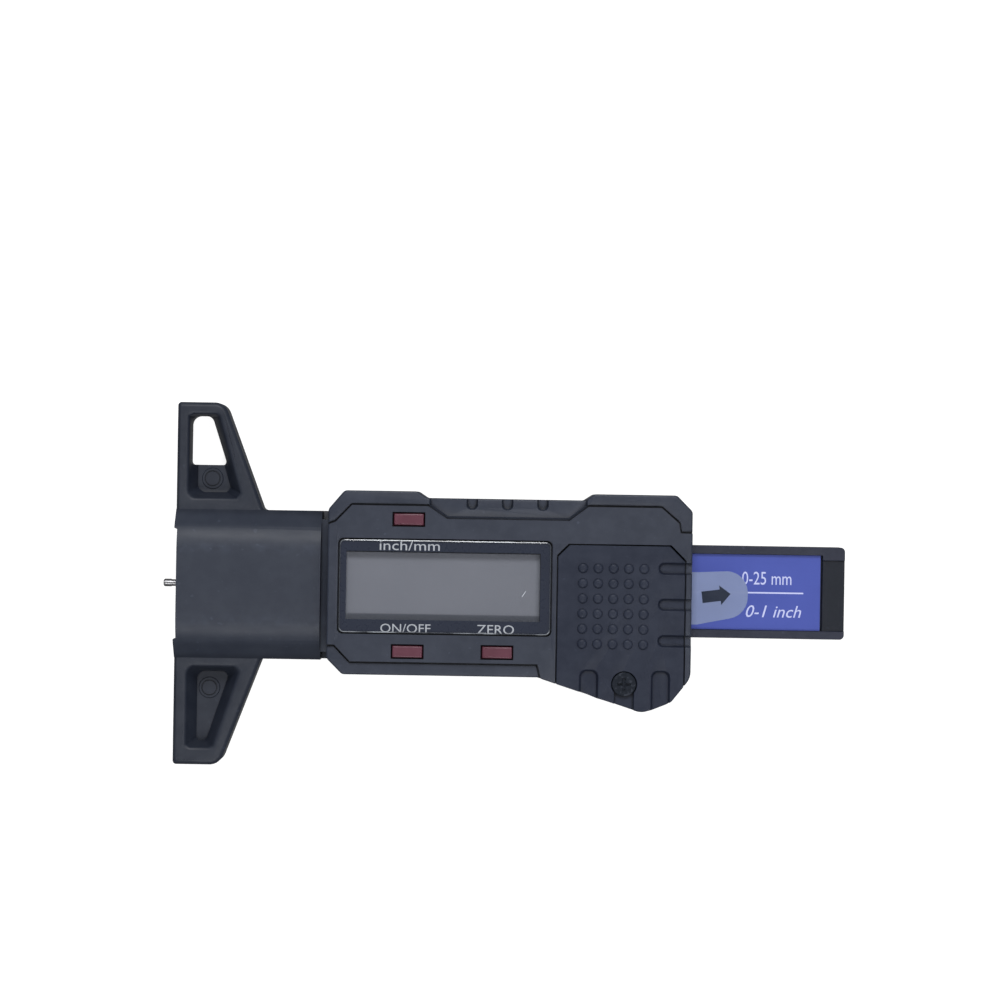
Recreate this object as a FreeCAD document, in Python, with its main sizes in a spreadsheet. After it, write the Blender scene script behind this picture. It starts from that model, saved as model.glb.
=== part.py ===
"""Digital tread depth gauge, in millimetres.

X runs along the gauge, from the measuring face at 0 towards the slider's end.
Y runs across it, with the probe on Y = 0.  Z rises from the flat back at 0 to
the display.
"""
import FreeCAD, Part
import math
import os
import re

import Sketcher

doc = FreeCAD.newDocument("depth_gauge")
sizes = doc.addObject("Spreadsheet::Sheet", "Sizes")

# Driving sizes, each followed by the places that a formula of the sheet draws
# from them.  A formula names only cells above it.
SIZES = {
    # T-shaped base: its straight edge is the measuring face.
    "base_span": 60.2,
    "neck_width": 24.7,
    "ear_tip": 7.75,
    "ear_root": 14.45,
    "ear_slope": "=(ear_root - ear_tip) / (base_span / 2 - neck_width / 2)",
    "ear_height": 6,
    "ear_tip_round": 2.3,
    "ear_face_round": 0.6,
    "ear_root_round": 0.8,
    "ear_edge_bevel": 0.45,
    "face_relief": 0.5,
    "face_relief_span": 18.2,

    # Sloped pockets in the ears, and the hanging hole.
    "ear_floor": 2,
    "pocket_face_high": 1.35,
    "pocket_face_low": 1.75,
    "pocket_root_wall_high": 1.85,
    "pocket_root_wall_low": 1.4,
    "pocket_tip_wall_high": 1.1,
    "pocket_tip_wall_low": 2.8,
    "pocket_slant_root": 2.8,
    "pocket_slant_tip_high": 1.6,
    "pocket_slant_tip_low": 2.2,
    "pocket_lean_side": 1.8,
    "pocket_lean_end": 1,
    "pocket_root_bevel": 0.8,
    "pocket_tip_bevel": 0.4,
    "pocket_root_high": "=neck_width / 2 + pocket_root_wall_high",
    "pocket_root_low": "=neck_width / 2 + pocket_root_wall_low",
    "pocket_root_end_high": "=ear_root - ear_slope * pocket_root_wall_high - pocket_slant_root",
    "pocket_root_end_low": "=ear_root - ear_slope * pocket_root_wall_low - pocket_slant_root",
    "pocket_tip_high": "=base_span / 2 - pocket_tip_wall_high",
    "pocket_tip_low": "=base_span / 2 - pocket_tip_wall_low",
    "pocket_end_high": "=ear_tip + ear_slope * pocket_tip_wall_high - pocket_slant_tip_high",
    "pocket_end_low": "=ear_tip + ear_slope * pocket_tip_wall_low - pocket_slant_tip_low",
    "hang_face": 2,
    "hang_root_wall": 7.4,
    "hang_tip_wall": 2.2,
    "hang_slant_root": 3.5,
    "hang_slant_tip": 3.12,
    "hang_round": 0.6,
    "hang_tip_round": 1.5,
    "hang_root": "=neck_width / 2 + hang_root_wall",
    "hang_tip": "=base_span / 2 - hang_tip_wall",
    "hang_root_end": "=ear_root - ear_slope * hang_root_wall - hang_slant_root",
    "hang_tip_end": "=ear_tip + ear_slope * hang_tip_wall - hang_slant_tip",

    # Slider channel.
    "floor_thickness": 1.8,
    "front_wall": 3,
    "running_fit": 0.05,
    "slider_width": 15.3,
    "slider_thickness": 4.3,
    "slider_base": "=floor_thickness + running_fit",
    "slider_top": "=slider_base + slider_thickness",
    "channel_top": "=slider_top + running_fit",
    "channel_half": "=slider_width / 2 + running_fit",
    "probe_level": "=slider_base + slider_thickness / 2",

    # Display and the clear window over it.
    "view_start": 28.6,
    "view_end": 60.5,
    "view_low": -5.3,
    "view_high": 5.8,
    "window_border_start": 1.2,
    "window_border_end": 2,
    "window_border_side": 2.3,
    "window_round": 0.9,
    "window_thickness": 1,
    "window_sink": 0.2,
    "window_bevel": 0.2,
    "window_fit": 0.08,
    "glass_margin": 0.6,
    "glass_ledge": 2,
    "glass_thickness": 1.9,
    "zebra_width": 1.6,
    "window_start": "=view_start - window_border_start",
    "window_end": "=view_end + window_border_end",
    "window_low": "=view_low - window_border_side",
    "window_high": "=view_high + window_border_side",

    # Head, seen from above: it begins before the window and ends behind the
    # battery cover.
    "head_nose": 1.7,
    "window_to_cover": 0.7,
    "cover_length": 21.2,
    "rear_rim": 0.95,
    "head_front": "=window_start - head_nose",
    "cover_start": "=window_end + window_to_cover",
    "cover_end": "=cover_start + cover_length",
    "head_end": "=cover_end + rear_rim",
    "side_high": 15.85,
    "side_low": -14.3,
    "front_corner": 2.6,
    "front_corner_rise": 3.1,
    "rear_corner": 2.6,
    "dip_start_run": 16.1,
    "dip_end_run": 4.5,
    "dip_slope": 1.6,
    "dip_depth": 1.05,
    "dip_start": "=head_front + dip_start_run",
    "dip_end": "=cover_start + dip_end_run",
    "bulge_start_run": 2.9,
    "bulge_tip_run": 14.2,
    "bulge_turn_run": 3.35,
    "bulge_start": "=cover_start - bulge_start_run",
    "bulge_tip": "=cover_start + bulge_tip_run",
    "bulge_turn": "=head_end - bulge_turn_run",
    "bulge_tip_side": -19.8,
    "bulge_turn_side": -18.25,
    "bulge_end_side": -14,
    "bulge_slope": "=(bulge_tip_side - side_low) / (bulge_tip - bulge_start)",
    "turn_slope": "=(bulge_end_side - bulge_turn_side) / (head_end - bulge_turn)",
    "head_round": 1,
    "bulge_round": 3,

    # Neck and its hump over the slider.
    "neck_gap": 1.4,
    "neck_end": "=head_front - neck_gap",
    "hump_level": 9.7,
    "hump_crown": 12,
    "hump_hip": 17.8,
    "hump_hip_level": 9.2,
    "hump_hip_round": 6,
    "bridge_inset": 1.4,
    "bridge_width": "=neck_width - 2 * bridge_inset",
    "bridge_wall": 1,

    # Levels of the head.
    "tray_level": 5,
    "board_level": 6.6,
    "board_thickness": 1,
    "board_top": "=board_level + board_thickness",
    "ceiling_level": 12,
    "shoulder_level": 13.3,
    "top_level": 14,
    "window_seat": "=top_level - window_sink - window_thickness",
    "shell_wall": 1.4,
    "register_fit": 0.1,
    "board_fit": 0.3,
    "door_fit": 0.15,

    # Raised top, the groove round its foot and the grip strip on the side.
    "step_groove_width": 0.32,
    "step_groove_depth": 0.5,
    "top_front_high": 10.2,
    "top_front_low": -9.4,
    "top_edge_high": 13.45,
    "top_edge_low": -12.1,
    "top_corner_high": 10.7,
    "top_corner_start_run": 1.3,
    "top_corner_end_run": 3.9,
    "top_corner_start": "=head_front + top_corner_start_run",
    "top_corner_end": "=head_front + top_corner_end_run",
    "top_rear_edge": 13.75,
    "top_rear_corner_side": 11.3,
    "top_rear_step": 9.65,
    "top_rear_jog": 0.3,
    "top_rear_start_run": 5.15,
    "top_rear_corner_run": 2.3,
    "top_rear_start": "=head_end - top_rear_start_run",
    "top_rear_corner": "=head_end - top_rear_corner_run",
    "top_foot_run": 0.6,
    "grip_side": 11.4,
    "grip_level": 12.2,
    "grip_lean": 15,
    "grip_floor": 1.2,
    "grip_beam_side": 10.9,
    "grip_start_run": 3.3,
    "grip_end_run": 2.5,
    "grip_rise": 3.1,
    "grip_start": "=dip_start + grip_start_run",
    "grip_end": "=dip_end - grip_end_run",
    "notch_first_run": 7.4,
    "notch_first": "=dip_start + notch_first_run",
    "notch_pitch": 5.8,
    "notch_width": 1.9,
    "notch_side": 12.95,
    "notch_depth": 0.8,

    # Buttons, the switches below them and the plungers between.
    "button_length": 4.88,
    "button_width": 1.9,
    "button_gap": 0.25,
    "button_rise": 0.3,
    "button_travel": 0.4,
    "button_flange": 0.6,
    "button_flange_thickness": 0.8,
    "units_run": 10.3,
    "units_y": 11.24,
    "power_run": 10.38,
    "power_y": -10.38,
    "zero_run": 25.04,
    "zero_y": -10.3,
    "units_x": "=view_start + units_run",
    "power_x": "=view_start + power_run",
    "zero_x": "=view_start + zero_run",
    "beam_fit": 0.3,
    "switch_length": 4.4,
    "switch_width": 3,
    "switch_height": 1.5,
    "plunger_radius": 0.8,
    "plunger_rise": 0.9,
    "plunger_fit": 0.06,
    "plunger_depth": 0.6,

    # Resin drop over the chip.
    "chip_run": 21,
    "chip_y": 0.4,
    "chip_radius": 4.5,
    "chip_height": 1.1,

    # Battery cover, its bumps, slots and screw.
    "cover_high": 7.7,
    "cover_corner": 1.9,
    "cover_corner_rear": 2.5,
    "cover_gap": 0.2,
    "cover_thickness": 1.2,
    "cover_seat": "=top_level - cover_thickness",
    "bump_run": 4.3,
    "bump_x": "=cover_start + bump_run",
    "bump_y": -8.65,
    "bump_pitch_x": 2.5,
    "bump_pitch_y": 2.48,
    "bump_columns": 5,
    "bump_rows": 6,
    "bump_radius": 0.72,
    "bump_rise": 0.3,
    "side_slot_run": 4.55,
    "side_slot_start": "=cover_end - side_slot_run",
    "side_slot_width": 2,
    "side_slot_high": 3.85,
    "side_slot_middle": -2.05,
    "side_slot_low": -8,
    "side_slot_depth": 0.45,
    "foot_slot_first_run": 5.5,
    "foot_slot_second_run": 3.95,
    "foot_slot_first": "=cover_start + foot_slot_first_run",
    "foot_slot_second": "=cover_end - foot_slot_second_run",
    "foot_slot_width": 3.1,
    "foot_slot_side": -12.85,
    "foot_slot_depth": 0.5,
    "screw_slot_width": 3.2,
    "screw_slot_depth": 0.85,
    "screw_seat_gap": 0.15,
    "cover_screw_run": 11.3,
    "cover_screw_x": "=cover_start + cover_screw_run",
    "cover_screw_y": -15.15,
    "cover_screw_head": 1.95,
    "cover_screw_head_height": 0.75,
    "cover_screw_radius": 0.75,
    "cover_screw_length": 5,
    "screw_fit": 0.06,
    "cover_boss": 1.6,
    "cover_boss_drop": 5,

    # Coin cell, its cup, its contacts and the rib that holds it down.
    "cell_run": 10.6,
    "cell_x": "=cover_start + cell_run",
    "cell_y": -3.4,
    "cell_radius": 10,
    "cell_thickness": 3.2,
    "cell_face_inset": 1.2,
    "cell_face_rise": 0.4,
    "cell_fit": 0.3,
    "cup_wall": 1,
    "cup_level": 8.8,
    "spring_rise": 0.8,
    "spring_sheet": 0.2,
    "spring_length": 9,
    "spring_crown": 5,
    "spring_toe": 0.8,
    "spring_lap": 0.1,
    "spring_width": 4,
    "tab_sheet": 0.1,
    "tab_fit": 0.02,
    "cell_base": "=board_top + spring_rise + tab_sheet + 2 * tab_fit",
    "cell_top": "=cell_base + cell_thickness",
    "clip_width": 3.6,
    "clip_foot": 1.7,
    "clip_height": 3,
    "clip_fit": 0.05,
    "clip_gap_fit": 0.25,
    "press_rib_length": 12,
    "press_rib_wall": 1,
    "press_rib_spacing": 7,
    "press_fit": 0.05,

    # Film tab that parts the cell from its spring until it is pulled out.
    "tab_start_run": 1.8,
    "tab_bend_run": 1.25,
    "tab_end_run": 9.75,
    "tab_start": "=cover_start + tab_start_run",
    "tab_bend": "=head_end + tab_bend_run",
    "tab_end": "=head_end + tab_end_run",
    "tab_low": -5.4,
    "tab_high": 3.25,
    "tab_end_low": -3.8,
    "tab_end_high": 3.6,
    "tab_end_level": 6.5,
    "tab_round": 3.6,
    "slit_fit": 0.25,

    # Case screws, driven from the back.
    "case_screw_head": 1.6,
    "case_screw_head_height": 1.2,
    "case_screw_radius": 0.85,
    "case_screw_length": 9,
    "case_screw_recess": 0.4,
    "case_boss": 1.8,
    "case_boss_fit": 0.15,
    "case_front_run": 5.3,
    "case_rear_run": 5.05,
    "case_low_run": 0.6,
    "case_front_x": "=head_front + case_front_run",
    "case_front_high": 11.6,
    "case_front_low": -10.6,
    "case_rear_x": "=head_end - case_rear_run",
    "case_rear_high": 11.6,
    "case_low_x": "=cover_start - case_low_run",
    "case_low_y": -11.2,

    # Slider and what it carries.
    "slider_front_run": 0.75,
    "slider_front": "=head_front + slider_front_run",
    "slider_end": 111.2,
    "slider_round": 0.75,
    "rail_width": 1.35,
    "recess_start_run": 2.55,
    "recess_start": "=slider_front + recess_start_run",
    "end_block": 3.7,
    "recess_end": "=slider_end - end_block",
    "board_bed": 1.5,
    "scale_thickness": 0.8,
    "label_thickness": 0.12,
    "label_end_gap": 0.3,
    "label_fit": 0.05,
    "end_step_high": 5.45,
    "end_step_depth": 0.35,
    "probe_radius": 0.65,
    "probe_neck_radius": 0.57,
    "probe_reach": 2.1,
    "probe_tip_length": 1.3,
    "probe_tip_bevel": 0.2,
    "probe_grip": 8,
    "stop_run": 9.55,
    "stop_x": "=slider_front + stop_run",
    "stop_radius": 0.8,
    "stop_drop": 0.7,
    "stop_fit": 0.05,
    "stroke_in": 2,
    "stroke_out": 23.4,
}

for row, (name, amount) in enumerate(SIZES.items(), 1):
    sizes.set("A%d" % row, name)
    sizes.set("B%d" % row, str(amount))
    sizes.setAlias("B%d" % row, name)
doc.recompute()


def bind(text):
    """Point every name in a formula at its cell in the sheet."""
    return re.sub(r"[a-z]\w*", lambda word: "Sizes." + word.group(0), str(text))


def value(text):
    """Give the number that a formula stands for."""
    return float(sizes.evalExpression(bind(text)))


def new_body(label):
    """Open an empty body whose label is the piece's name."""
    body = doc.addObject("PartDesign::Body", label)
    body.Label = label
    return body


def open_sketch(body, name, plane, level):
    """Attach an empty sketch to an origin plane of its body, at a level."""
    sketch = body.newObject("Sketcher::SketchObject", name)
    origin_plane = next(item for item in body.Origin.OriginFeatures if item.Role == plane)
    sketch.AttachmentSupport = [(origin_plane, "")]
    sketch.MapMode = "FlatFace"
    sketch.setExpression(".AttachmentOffset.Base.z", bind(level))
    return sketch


def pin_point(sketch, line, across, along):
    """Hold the start of a line at two formulas, measured from the origin."""
    number = sketch.addConstraint(Sketcher.Constraint("DistanceX", -1, 1, line, 1, value(across)))
    sketch.setExpression("Constraints[%d]" % number, bind(across))
    number = sketch.addConstraint(Sketcher.Constraint("DistanceY", -1, 1, line, 1, value(along)))
    sketch.setExpression("Constraints[%d]" % number, bind(along))


def outline(body, name, level, *loops, plane="XY_Plane"):
    """Draw closed outlines; each corner is a pair of formulas."""
    sketch = open_sketch(body, name, plane, level)
    for corners in loops:
        spots = [FreeCAD.Vector(value(across), value(along), 0) for across, along in corners]
        first = len(sketch.Geometry)
        for here, there in zip(spots, spots[1:] + spots[:1]):
            sketch.addGeometry(Part.LineSegment(here, there))
        for step, corner in enumerate(corners):
            following = first + (step + 1) % len(corners)
            sketch.addConstraint(Sketcher.Constraint("Coincident", first + step, 2, following, 1))
            pin_point(sketch, first + step, *corner)
    return sketch


def discs(body, name, level, radius, *centres, plane="XY_Plane", bore=None):
    """Draw equal circles, or rings where a bore is given."""
    sketch = open_sketch(body, name, plane, level)
    radii = [radius] if bore is None else [radius, bore]
    for across, along in centres:
        for reach in radii:
            middle = FreeCAD.Vector(value(across), value(along), 0)
            circle = Part.Circle(middle, FreeCAD.Vector(0, 0, 1), value(reach))
            line = sketch.addGeometry(circle)
            number = sketch.addConstraint(Sketcher.Constraint("Radius", line, value(reach)))
            sketch.setExpression("Constraints[%d]" % number, bind(reach))
            for kind, place in (("DistanceX", across), ("DistanceY", along)):
                number = sketch.addConstraint(
                    Sketcher.Constraint(kind, -1, 1, line, 3, value(place)))
                sketch.setExpression("Constraints[%d]" % number, bind(place))
    return sketch


def box(x_low, x_high, y_low, y_high):
    """Give the four corners of a rectangle."""
    return [(x_low, y_low), (x_high, y_low), (x_high, y_high), (x_low, y_high)]


def pad(body, name, profile, length, back=False):
    """Raise a profile along its normal, or against it."""
    feature = body.newObject("PartDesign::Pad", name)
    feature.Profile = profile
    feature.setExpression("Length", bind(length))
    feature.Reversed = back
    doc.recompute()
    return feature


def cut(body, name, profile, depth, ahead=False, draft=None):
    """Cut a profile against its normal, or along it."""
    feature = body.newObject("PartDesign::Pocket", name)
    feature.Profile = profile
    feature.setExpression("Length", bind(depth))
    feature.Reversed = ahead
    if draft is not None:
        feature.setExpression("TaperAngle", "-" + bind(draft))
    doc.recompute()
    return feature


def fit_inside(body, name, profile, inset):
    """Take another outline, drawn in by an inset."""
    binder = body.newObject("PartDesign::SubShapeBinder", name)
    binder.Support = [(profile, ("",))]
    binder.MakeFace = True
    binder.setExpression("Offset", "-(" + bind(inset) + ")")
    doc.recompute()
    return binder


def upright(edge, spots):
    """Say whether an edge stands along Z over one of the spots."""
    box_of_edge = edge.BoundBox
    if box_of_edge.ZLength < 0.05 or max(box_of_edge.XLength, box_of_edge.YLength) > 0.01:
        return False
    middle = box_of_edge.Center
    return any(abs(middle.x - x) < 0.02 and abs(middle.y - y) < 0.02 for x, y in spots)


def dress_edges(body, name, kind, size, amount, chosen):
    """Dress the edges that a test picks from the body's latest shape."""
    base = body.Tip
    names = ["Edge%d" % place for place, edge in enumerate(base.Shape.Edges, 1) if chosen(edge)]
    feature = body.newObject("PartDesign::" + kind, name)
    feature.Base = (base, names)
    feature.setExpression(size, bind(amount))
    doc.recompute()
    return feature


def round_edges(body, name, radius, chosen):
    """Round the edges that a test picks."""
    return dress_edges(body, name, "Fillet", "Radius", radius, chosen)


def bevel_edges(body, name, width, chosen):
    """Bevel the edges that a test picks."""
    return dress_edges(body, name, "Chamfer", "Size", width, chosen)


def bevel_top(body, name, width, level):
    """Bevel the edges that lie at a level."""
    height = value(level)
    return bevel_edges(body, name, width, lambda edge: edge.BoundBox.ZMin > height - 0.01)


def round_corners(body, name, radius, corners):
    """Round the upright edges over the given corners."""
    spots = [(value(across), value(along)) for across, along in corners]
    return round_edges(body, name, radius, lambda edge: upright(edge, spots))


def block(label, corners, low, height):
    """Make a plain block on an outline."""
    body = new_body(label)
    pad(body, label + "_block", outline(body, label + "_plan", low, corners), height)
    return body


HEAD_FRONT_CORNERS = [
    ("head_front", "side_high - front_corner_rise"),
    ("head_front", "side_low + front_corner"),
    ("head_front + front_corner", "side_low"),
]
HEAD_BULGE_CORNERS = [
    ("bulge_tip", "bulge_tip_side"),
    ("bulge_turn", "bulge_turn_side"),
    ("head_end", "bulge_end_side"),
]
HEAD_REAR_CORNERS = [
    ("head_end", "side_high - rear_corner"),
    ("head_end - rear_corner", "side_high"),
    ("dip_end + dip_slope", "side_high"),
    ("dip_end", "side_high - dip_depth"),
    ("dip_start", "side_high - dip_depth"),
    ("dip_start - dip_slope", "side_high"),
    ("head_front + front_corner", "side_high"),
]
HEAD_CORNERS = (HEAD_FRONT_CORNERS + [("bulge_start", "side_low")]
                + HEAD_BULGE_CORNERS + HEAD_REAR_CORNERS)
CASE_SCREWS = [
    ("case_front_x", "case_front_high"),
    ("case_front_x", "case_front_low"),
    ("case_rear_x", "case_rear_high"),
    ("case_low_x", "case_low_y"),
]
BUTTONS = {
    "units": ("units_x", "units_y"),
    "power": ("power_x", "power_y"),
    "zero": ("zero_x", "zero_y"),
}


def around(spot, length, width):
    """Give a rectangle about a spot."""
    across, along = spot
    return box("%s - (%s) / 2" % (across, length), "%s + (%s) / 2" % (across, length),
               "%s - (%s) / 2" % (along, width), "%s + (%s) / 2" % (along, width))


def round_head_corners(body, name):
    """Round the head's corners: small ones in front, wide ones at the bulge."""
    round_corners(body, name + "_corners", "head_round",
                  HEAD_FRONT_CORNERS + HEAD_REAR_CORNERS)
    round_corners(body, name + "_bulge", "bulge_round", HEAD_BULGE_CORNERS)


def ear_outline(side, *corners):
    """Set corners on one ear: side is '' for +Y and '-' for -Y."""
    return [(across, side + "(" + along + ")") for across, along in corners]


def make_base_frame():
    """Moulded frame: T base with hollowed ears, humped neck and rear tray."""
    body = new_body("base_frame")
    half = "base_span / 2"
    root = "neck_width / 2"
    plan = outline(body, "base_plan", 0, [
        ("0", "-" + half), ("ear_tip", "-" + half), ("ear_root", "-" + root),
        ("neck_end", "-" + root), ("neck_end", root), ("ear_root", root),
        ("ear_tip", half), ("0", half)])
    pad(body, "base_plate", plan, "ear_height")
    round_corners(body, "ear_tips", "ear_tip_round", [("ear_tip", half), ("ear_tip", "-" + half)])
    round_corners(body, "ear_faces", "ear_face_round", [("0", half), ("0", "-" + half)])
    round_corners(body, "ear_roots", "ear_root_round", [("ear_root", root), ("ear_root", "-" + root)])
    bevel_top(body, "ear_edges", "ear_edge_bevel", "ear_height")
    hump = outline(body, "hump_profile", 0, [
        ("-" + root, "0"), (root, "0"), (root, "ear_height"),
        ("hump_hip / 2", "hump_hip_level"), ("hump_crown / 2", "hump_level"),
        ("-hump_crown / 2", "hump_level"), ("-hump_hip / 2", "hump_hip_level"),
        ("-" + root, "ear_height")], plane="YZ_Plane")
    pad(body, "hump", hump, "neck_end")
    hip = value("hump_hip") / 2
    hip_level = value("hump_hip_level")
    round_edges(body, "hump_hips", "hump_hip_round", lambda edge: (
        abs(abs(edge.BoundBox.Center.y) - hip) < 0.01
        and abs(edge.BoundBox.Center.z - hip_level) < 0.01 and edge.BoundBox.XLength > 1))
    tray = outline(body, "tray_plan", 0, HEAD_CORNERS)
    pad(body, "tray", tray, "tray_level")
    round_head_corners(body, "tray")
    bridge = outline(body, "bridge_plan", 0, box(
        "front_wall", "head_front", "-bridge_width / 2", "bridge_width / 2"))
    pad(body, "bridge", bridge, "channel_top + bridge_wall")
    foot = outline(body, "bridge_foot_plan", 0, box(
        "front_wall", "head_front + head_round", "-neck_width / 2", "neck_width / 2"))
    pad(body, "bridge_foot", foot, "floor_thickness")
    seat = outline(body, "seat_plan", "tray_level", HEAD_CORNERS)
    register = fit_inside(body, "register_plan", seat, "shell_wall + register_fit")
    pad(body, "register", register, "board_level - tray_level")
    hollow_ears(body)
    cut_channel(body)
    drill_case_screws(body)
    return body


def hollow_ears(body):
    """Hollow both ears and open one for hanging."""
    sink_pocket(body, "", "high")
    sink_pocket(body, "-", "low")
    hang = outline(body, "hang_plan", "ear_height", [
        ("hang_face", "hang_root"), ("hang_root_end", "hang_root"),
        ("hang_tip_end", "hang_tip"), ("hang_face", "hang_tip")])
    cut(body, "hang_hole", hang, "ear_height")
    round_corners(body, "hang_root_corners", "hang_round", [
        ("hang_face", "hang_root"), ("hang_root_end", "hang_root")])
    round_corners(body, "hang_tip_corners", "hang_tip_round", [
        ("hang_face", "hang_tip"), ("hang_tip_end", "hang_tip")])


def sink_pocket(body, side, word):
    """Sink one ear's pocket: all four walls lean, the long ones the most."""
    face = "pocket_face_" + word
    root = "pocket_root_" + word
    root_end = "pocket_root_end_" + word
    tip = "pocket_tip_" + word
    tip_end = "pocket_end_" + word
    mouth = outline(body, "pocket_%s_mouth" % word, "ear_height", ear_outline(
        side, (face, root), (root_end, root), (tip_end, tip), (face, tip)))
    slope = "(%s - %s) / (%s - %s)" % (root_end, tip_end, tip, root)
    inner_face = face + " + pocket_lean_side"
    inner_root = root + " + pocket_lean_end"
    inner_tip = tip + " - pocket_lean_end"
    floor = outline(body, "pocket_%s_floor" % word, "ear_floor", ear_outline(
        side, (inner_face, inner_root),
        ("%s - pocket_lean_side - %s * pocket_lean_end" % (root_end, slope), inner_root),
        ("%s - pocket_lean_side + %s * pocket_lean_end" % (tip_end, slope), inner_tip),
        (inner_face, inner_tip)))
    pocket = body.newObject("PartDesign::SubtractiveLoft", "pocket_" + word)
    pocket.Profile = mouth
    pocket.Sections = [floor]
    pocket.Ruled = True
    doc.recompute()
    low = value("ear_floor")
    high = value("ear_height")
    middle = value("(%s + %s) / 2" % (root, tip))
    for place, width in (("root", "pocket_root_bevel"), ("tip", "pocket_tip_bevel")):
        bevel_edges(body, "pocket_%s_%s" % (word, place), width, lambda edge: (
            side_of(edge) == side and abs(edge.BoundBox.ZMin - low) < 0.01
            and abs(edge.BoundBox.ZMax - high) < 0.01 and edge.BoundBox.YLength < high - low
            and min(edge.BoundBox.XLength, edge.BoundBox.YLength) > 0.1
            and (abs(edge.BoundBox.Center.y) < middle) == (place == "root")))


def side_of(edge):
    """Say which ear an edge lies on."""
    return "" if edge.BoundBox.Center.y > 0 else "-"


def cut_channel(body):
    """Cut the slider's channel, the probe's bore and the stop's groove."""
    channel = outline(body, "channel_plan", "front_wall", box(
        "-channel_half", "channel_half", "floor_thickness", "channel_top"), plane="YZ_Plane")
    cut(body, "channel", channel, "head_end", ahead=True)
    trough = outline(body, "trough_plan", "channel_top", box(
        "head_front + shell_wall", "head_end", "-channel_half", "channel_half"))
    cut(body, "trough", trough, "board_level", ahead=True)
    bore = discs(body, "probe_bore_plan", 0, "probe_radius + running_fit",
                 ("0", "probe_level"), plane="YZ_Plane")
    cut(body, "probe_bore", bore, "front_wall", ahead=True)
    relief = outline(body, "relief_plan", 0, box(
        "0", "face_relief", "-face_relief_span / 2", "face_relief_span / 2"))
    cut(body, "relief", relief, "hump_level", ahead=True)
    groove = outline(body, "stop_groove_plan", "floor_thickness", box(
        "stop_x - stroke_out - stop_radius - stop_fit",
        "stop_x + stroke_in + stop_radius + stop_fit",
        "-stop_radius - stop_fit", "stop_radius + stop_fit"))
    cut(body, "stop_groove", groove, "stop_drop + running_fit")


def drill_case_screws(body):
    """Sink the heads of the case screws in the back and drill through."""
    heads = discs(body, "screw_sink_plan", 0, "case_screw_head + screw_fit", *CASE_SCREWS)
    cut(body, "screw_sinks", heads, "case_screw_recess + case_screw_head_height", ahead=True)
    shanks = discs(body, "screw_hole_plan", 0, "case_screw_radius + screw_fit", *CASE_SCREWS)
    cut(body, "screw_holes", shanks, "board_level", ahead=True)


def make_head_housing():
    """Moulded upper case, open below, with its bosses, cup and openings."""
    body = new_body("head_housing")
    plan = outline(body, "shell_plan", "tray_level", HEAD_CORNERS)
    pad(body, "shell", plan, "shoulder_level - tray_level")
    raised = outline(body, "raised_plan", "shoulder_level - step_groove_depth", [
        ("head_front", "top_front_low"), ("top_corner_start", "top_front_low"),
        ("top_corner_end", "top_edge_low"), ("bulge_start", "top_edge_low"),
        ("bulge_start + top_foot_run", "side_low + bulge_slope * top_foot_run")
        ] + HEAD_BULGE_CORNERS + [
        ("head_end", "top_rear_step"), ("top_rear_corner + top_rear_jog", "top_rear_step"),
        ("top_rear_corner", "top_rear_corner_side"), ("top_rear_start", "top_rear_edge"),
        ("grip_end + grip_rise", "top_rear_edge"), ("grip_end", "grip_side"),
        ("grip_start", "grip_side"), ("grip_start - grip_rise", "top_edge_high"),
        ("top_corner_end", "top_edge_high"), ("top_corner_start", "top_corner_high"),
        ("head_front", "top_front_high")])
    moat = fit_inside(body, "step_groove_plan", raised, "-step_groove_width")
    cut(body, "step_groove", moat, "step_groove_depth", ahead=True)
    pad(body, "raised_top", raised, "top_level - shoulder_level + step_groove_depth")
    round_head_corners(body, "shell")
    grip = outline(body, "grip_plan", "top_level", [
        ("grip_start", "grip_side"), ("grip_end", "grip_side"),
        ("grip_end + grip_rise", "top_rear_edge"), ("grip_end + grip_rise", "2 * side_high"),
        ("grip_start - grip_rise", "2 * side_high"), ("grip_start - grip_rise", "top_edge_high")])
    cut(body, "grip", grip, "top_level - grip_level", draft="grip_lean")
    cavity = fit_inside(body, "cavity_plan", plan, "shell_wall")
    cut(body, "cavity", cavity, "ceiling_level - tray_level", ahead=True)
    add_housing_bosses(body)
    cut_housing_top(body)
    cut_housing_ends(body)
    return body


def add_housing_bosses(body):
    """Add the screw bosses, the cell's cup and the beam under the grip."""
    bosses = discs(body, "case_boss_plan", "ceiling_level", "case_boss", *CASE_SCREWS)
    pad(body, "case_bosses", bosses, "ceiling_level - board_level", back=True)
    pilots = discs(body, "case_pilot_plan", "board_level",
                   "case_screw_radius + screw_fit", *CASE_SCREWS)
    cut(body, "case_pilots", pilots, "ceiling_level - board_level", ahead=True)
    cup = discs(body, "cup_plan", "ceiling_level", "cell_radius + cell_fit + cup_wall",
                ("cell_x", "cell_y"), bore="cell_radius + cell_fit")
    pad(body, "cup", cup, "ceiling_level - cup_level", back=True)
    gap = outline(body, "clip_gap_plan", "cup_level", box(
        "cell_x - cell_radius - cell_fit - cup_wall - clip_gap_fit", "cell_x - cell_radius * 0.9",
        "cell_y - clip_width / 2 - clip_gap_fit", "cell_y + clip_width / 2 + clip_gap_fit"))
    cut(body, "clip_gap", gap, "ceiling_level - cup_level", ahead=True)
    beam = outline(body, "beam_plan", "ceiling_level", box(
        "units_x + button_length / 2 + button_flange + beam_fit", "grip_end + grip_rise",
        "grip_beam_side", "side_high - dip_depth - shell_wall"))
    pad(body, "beam", beam, "grip_floor", back=True)


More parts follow.
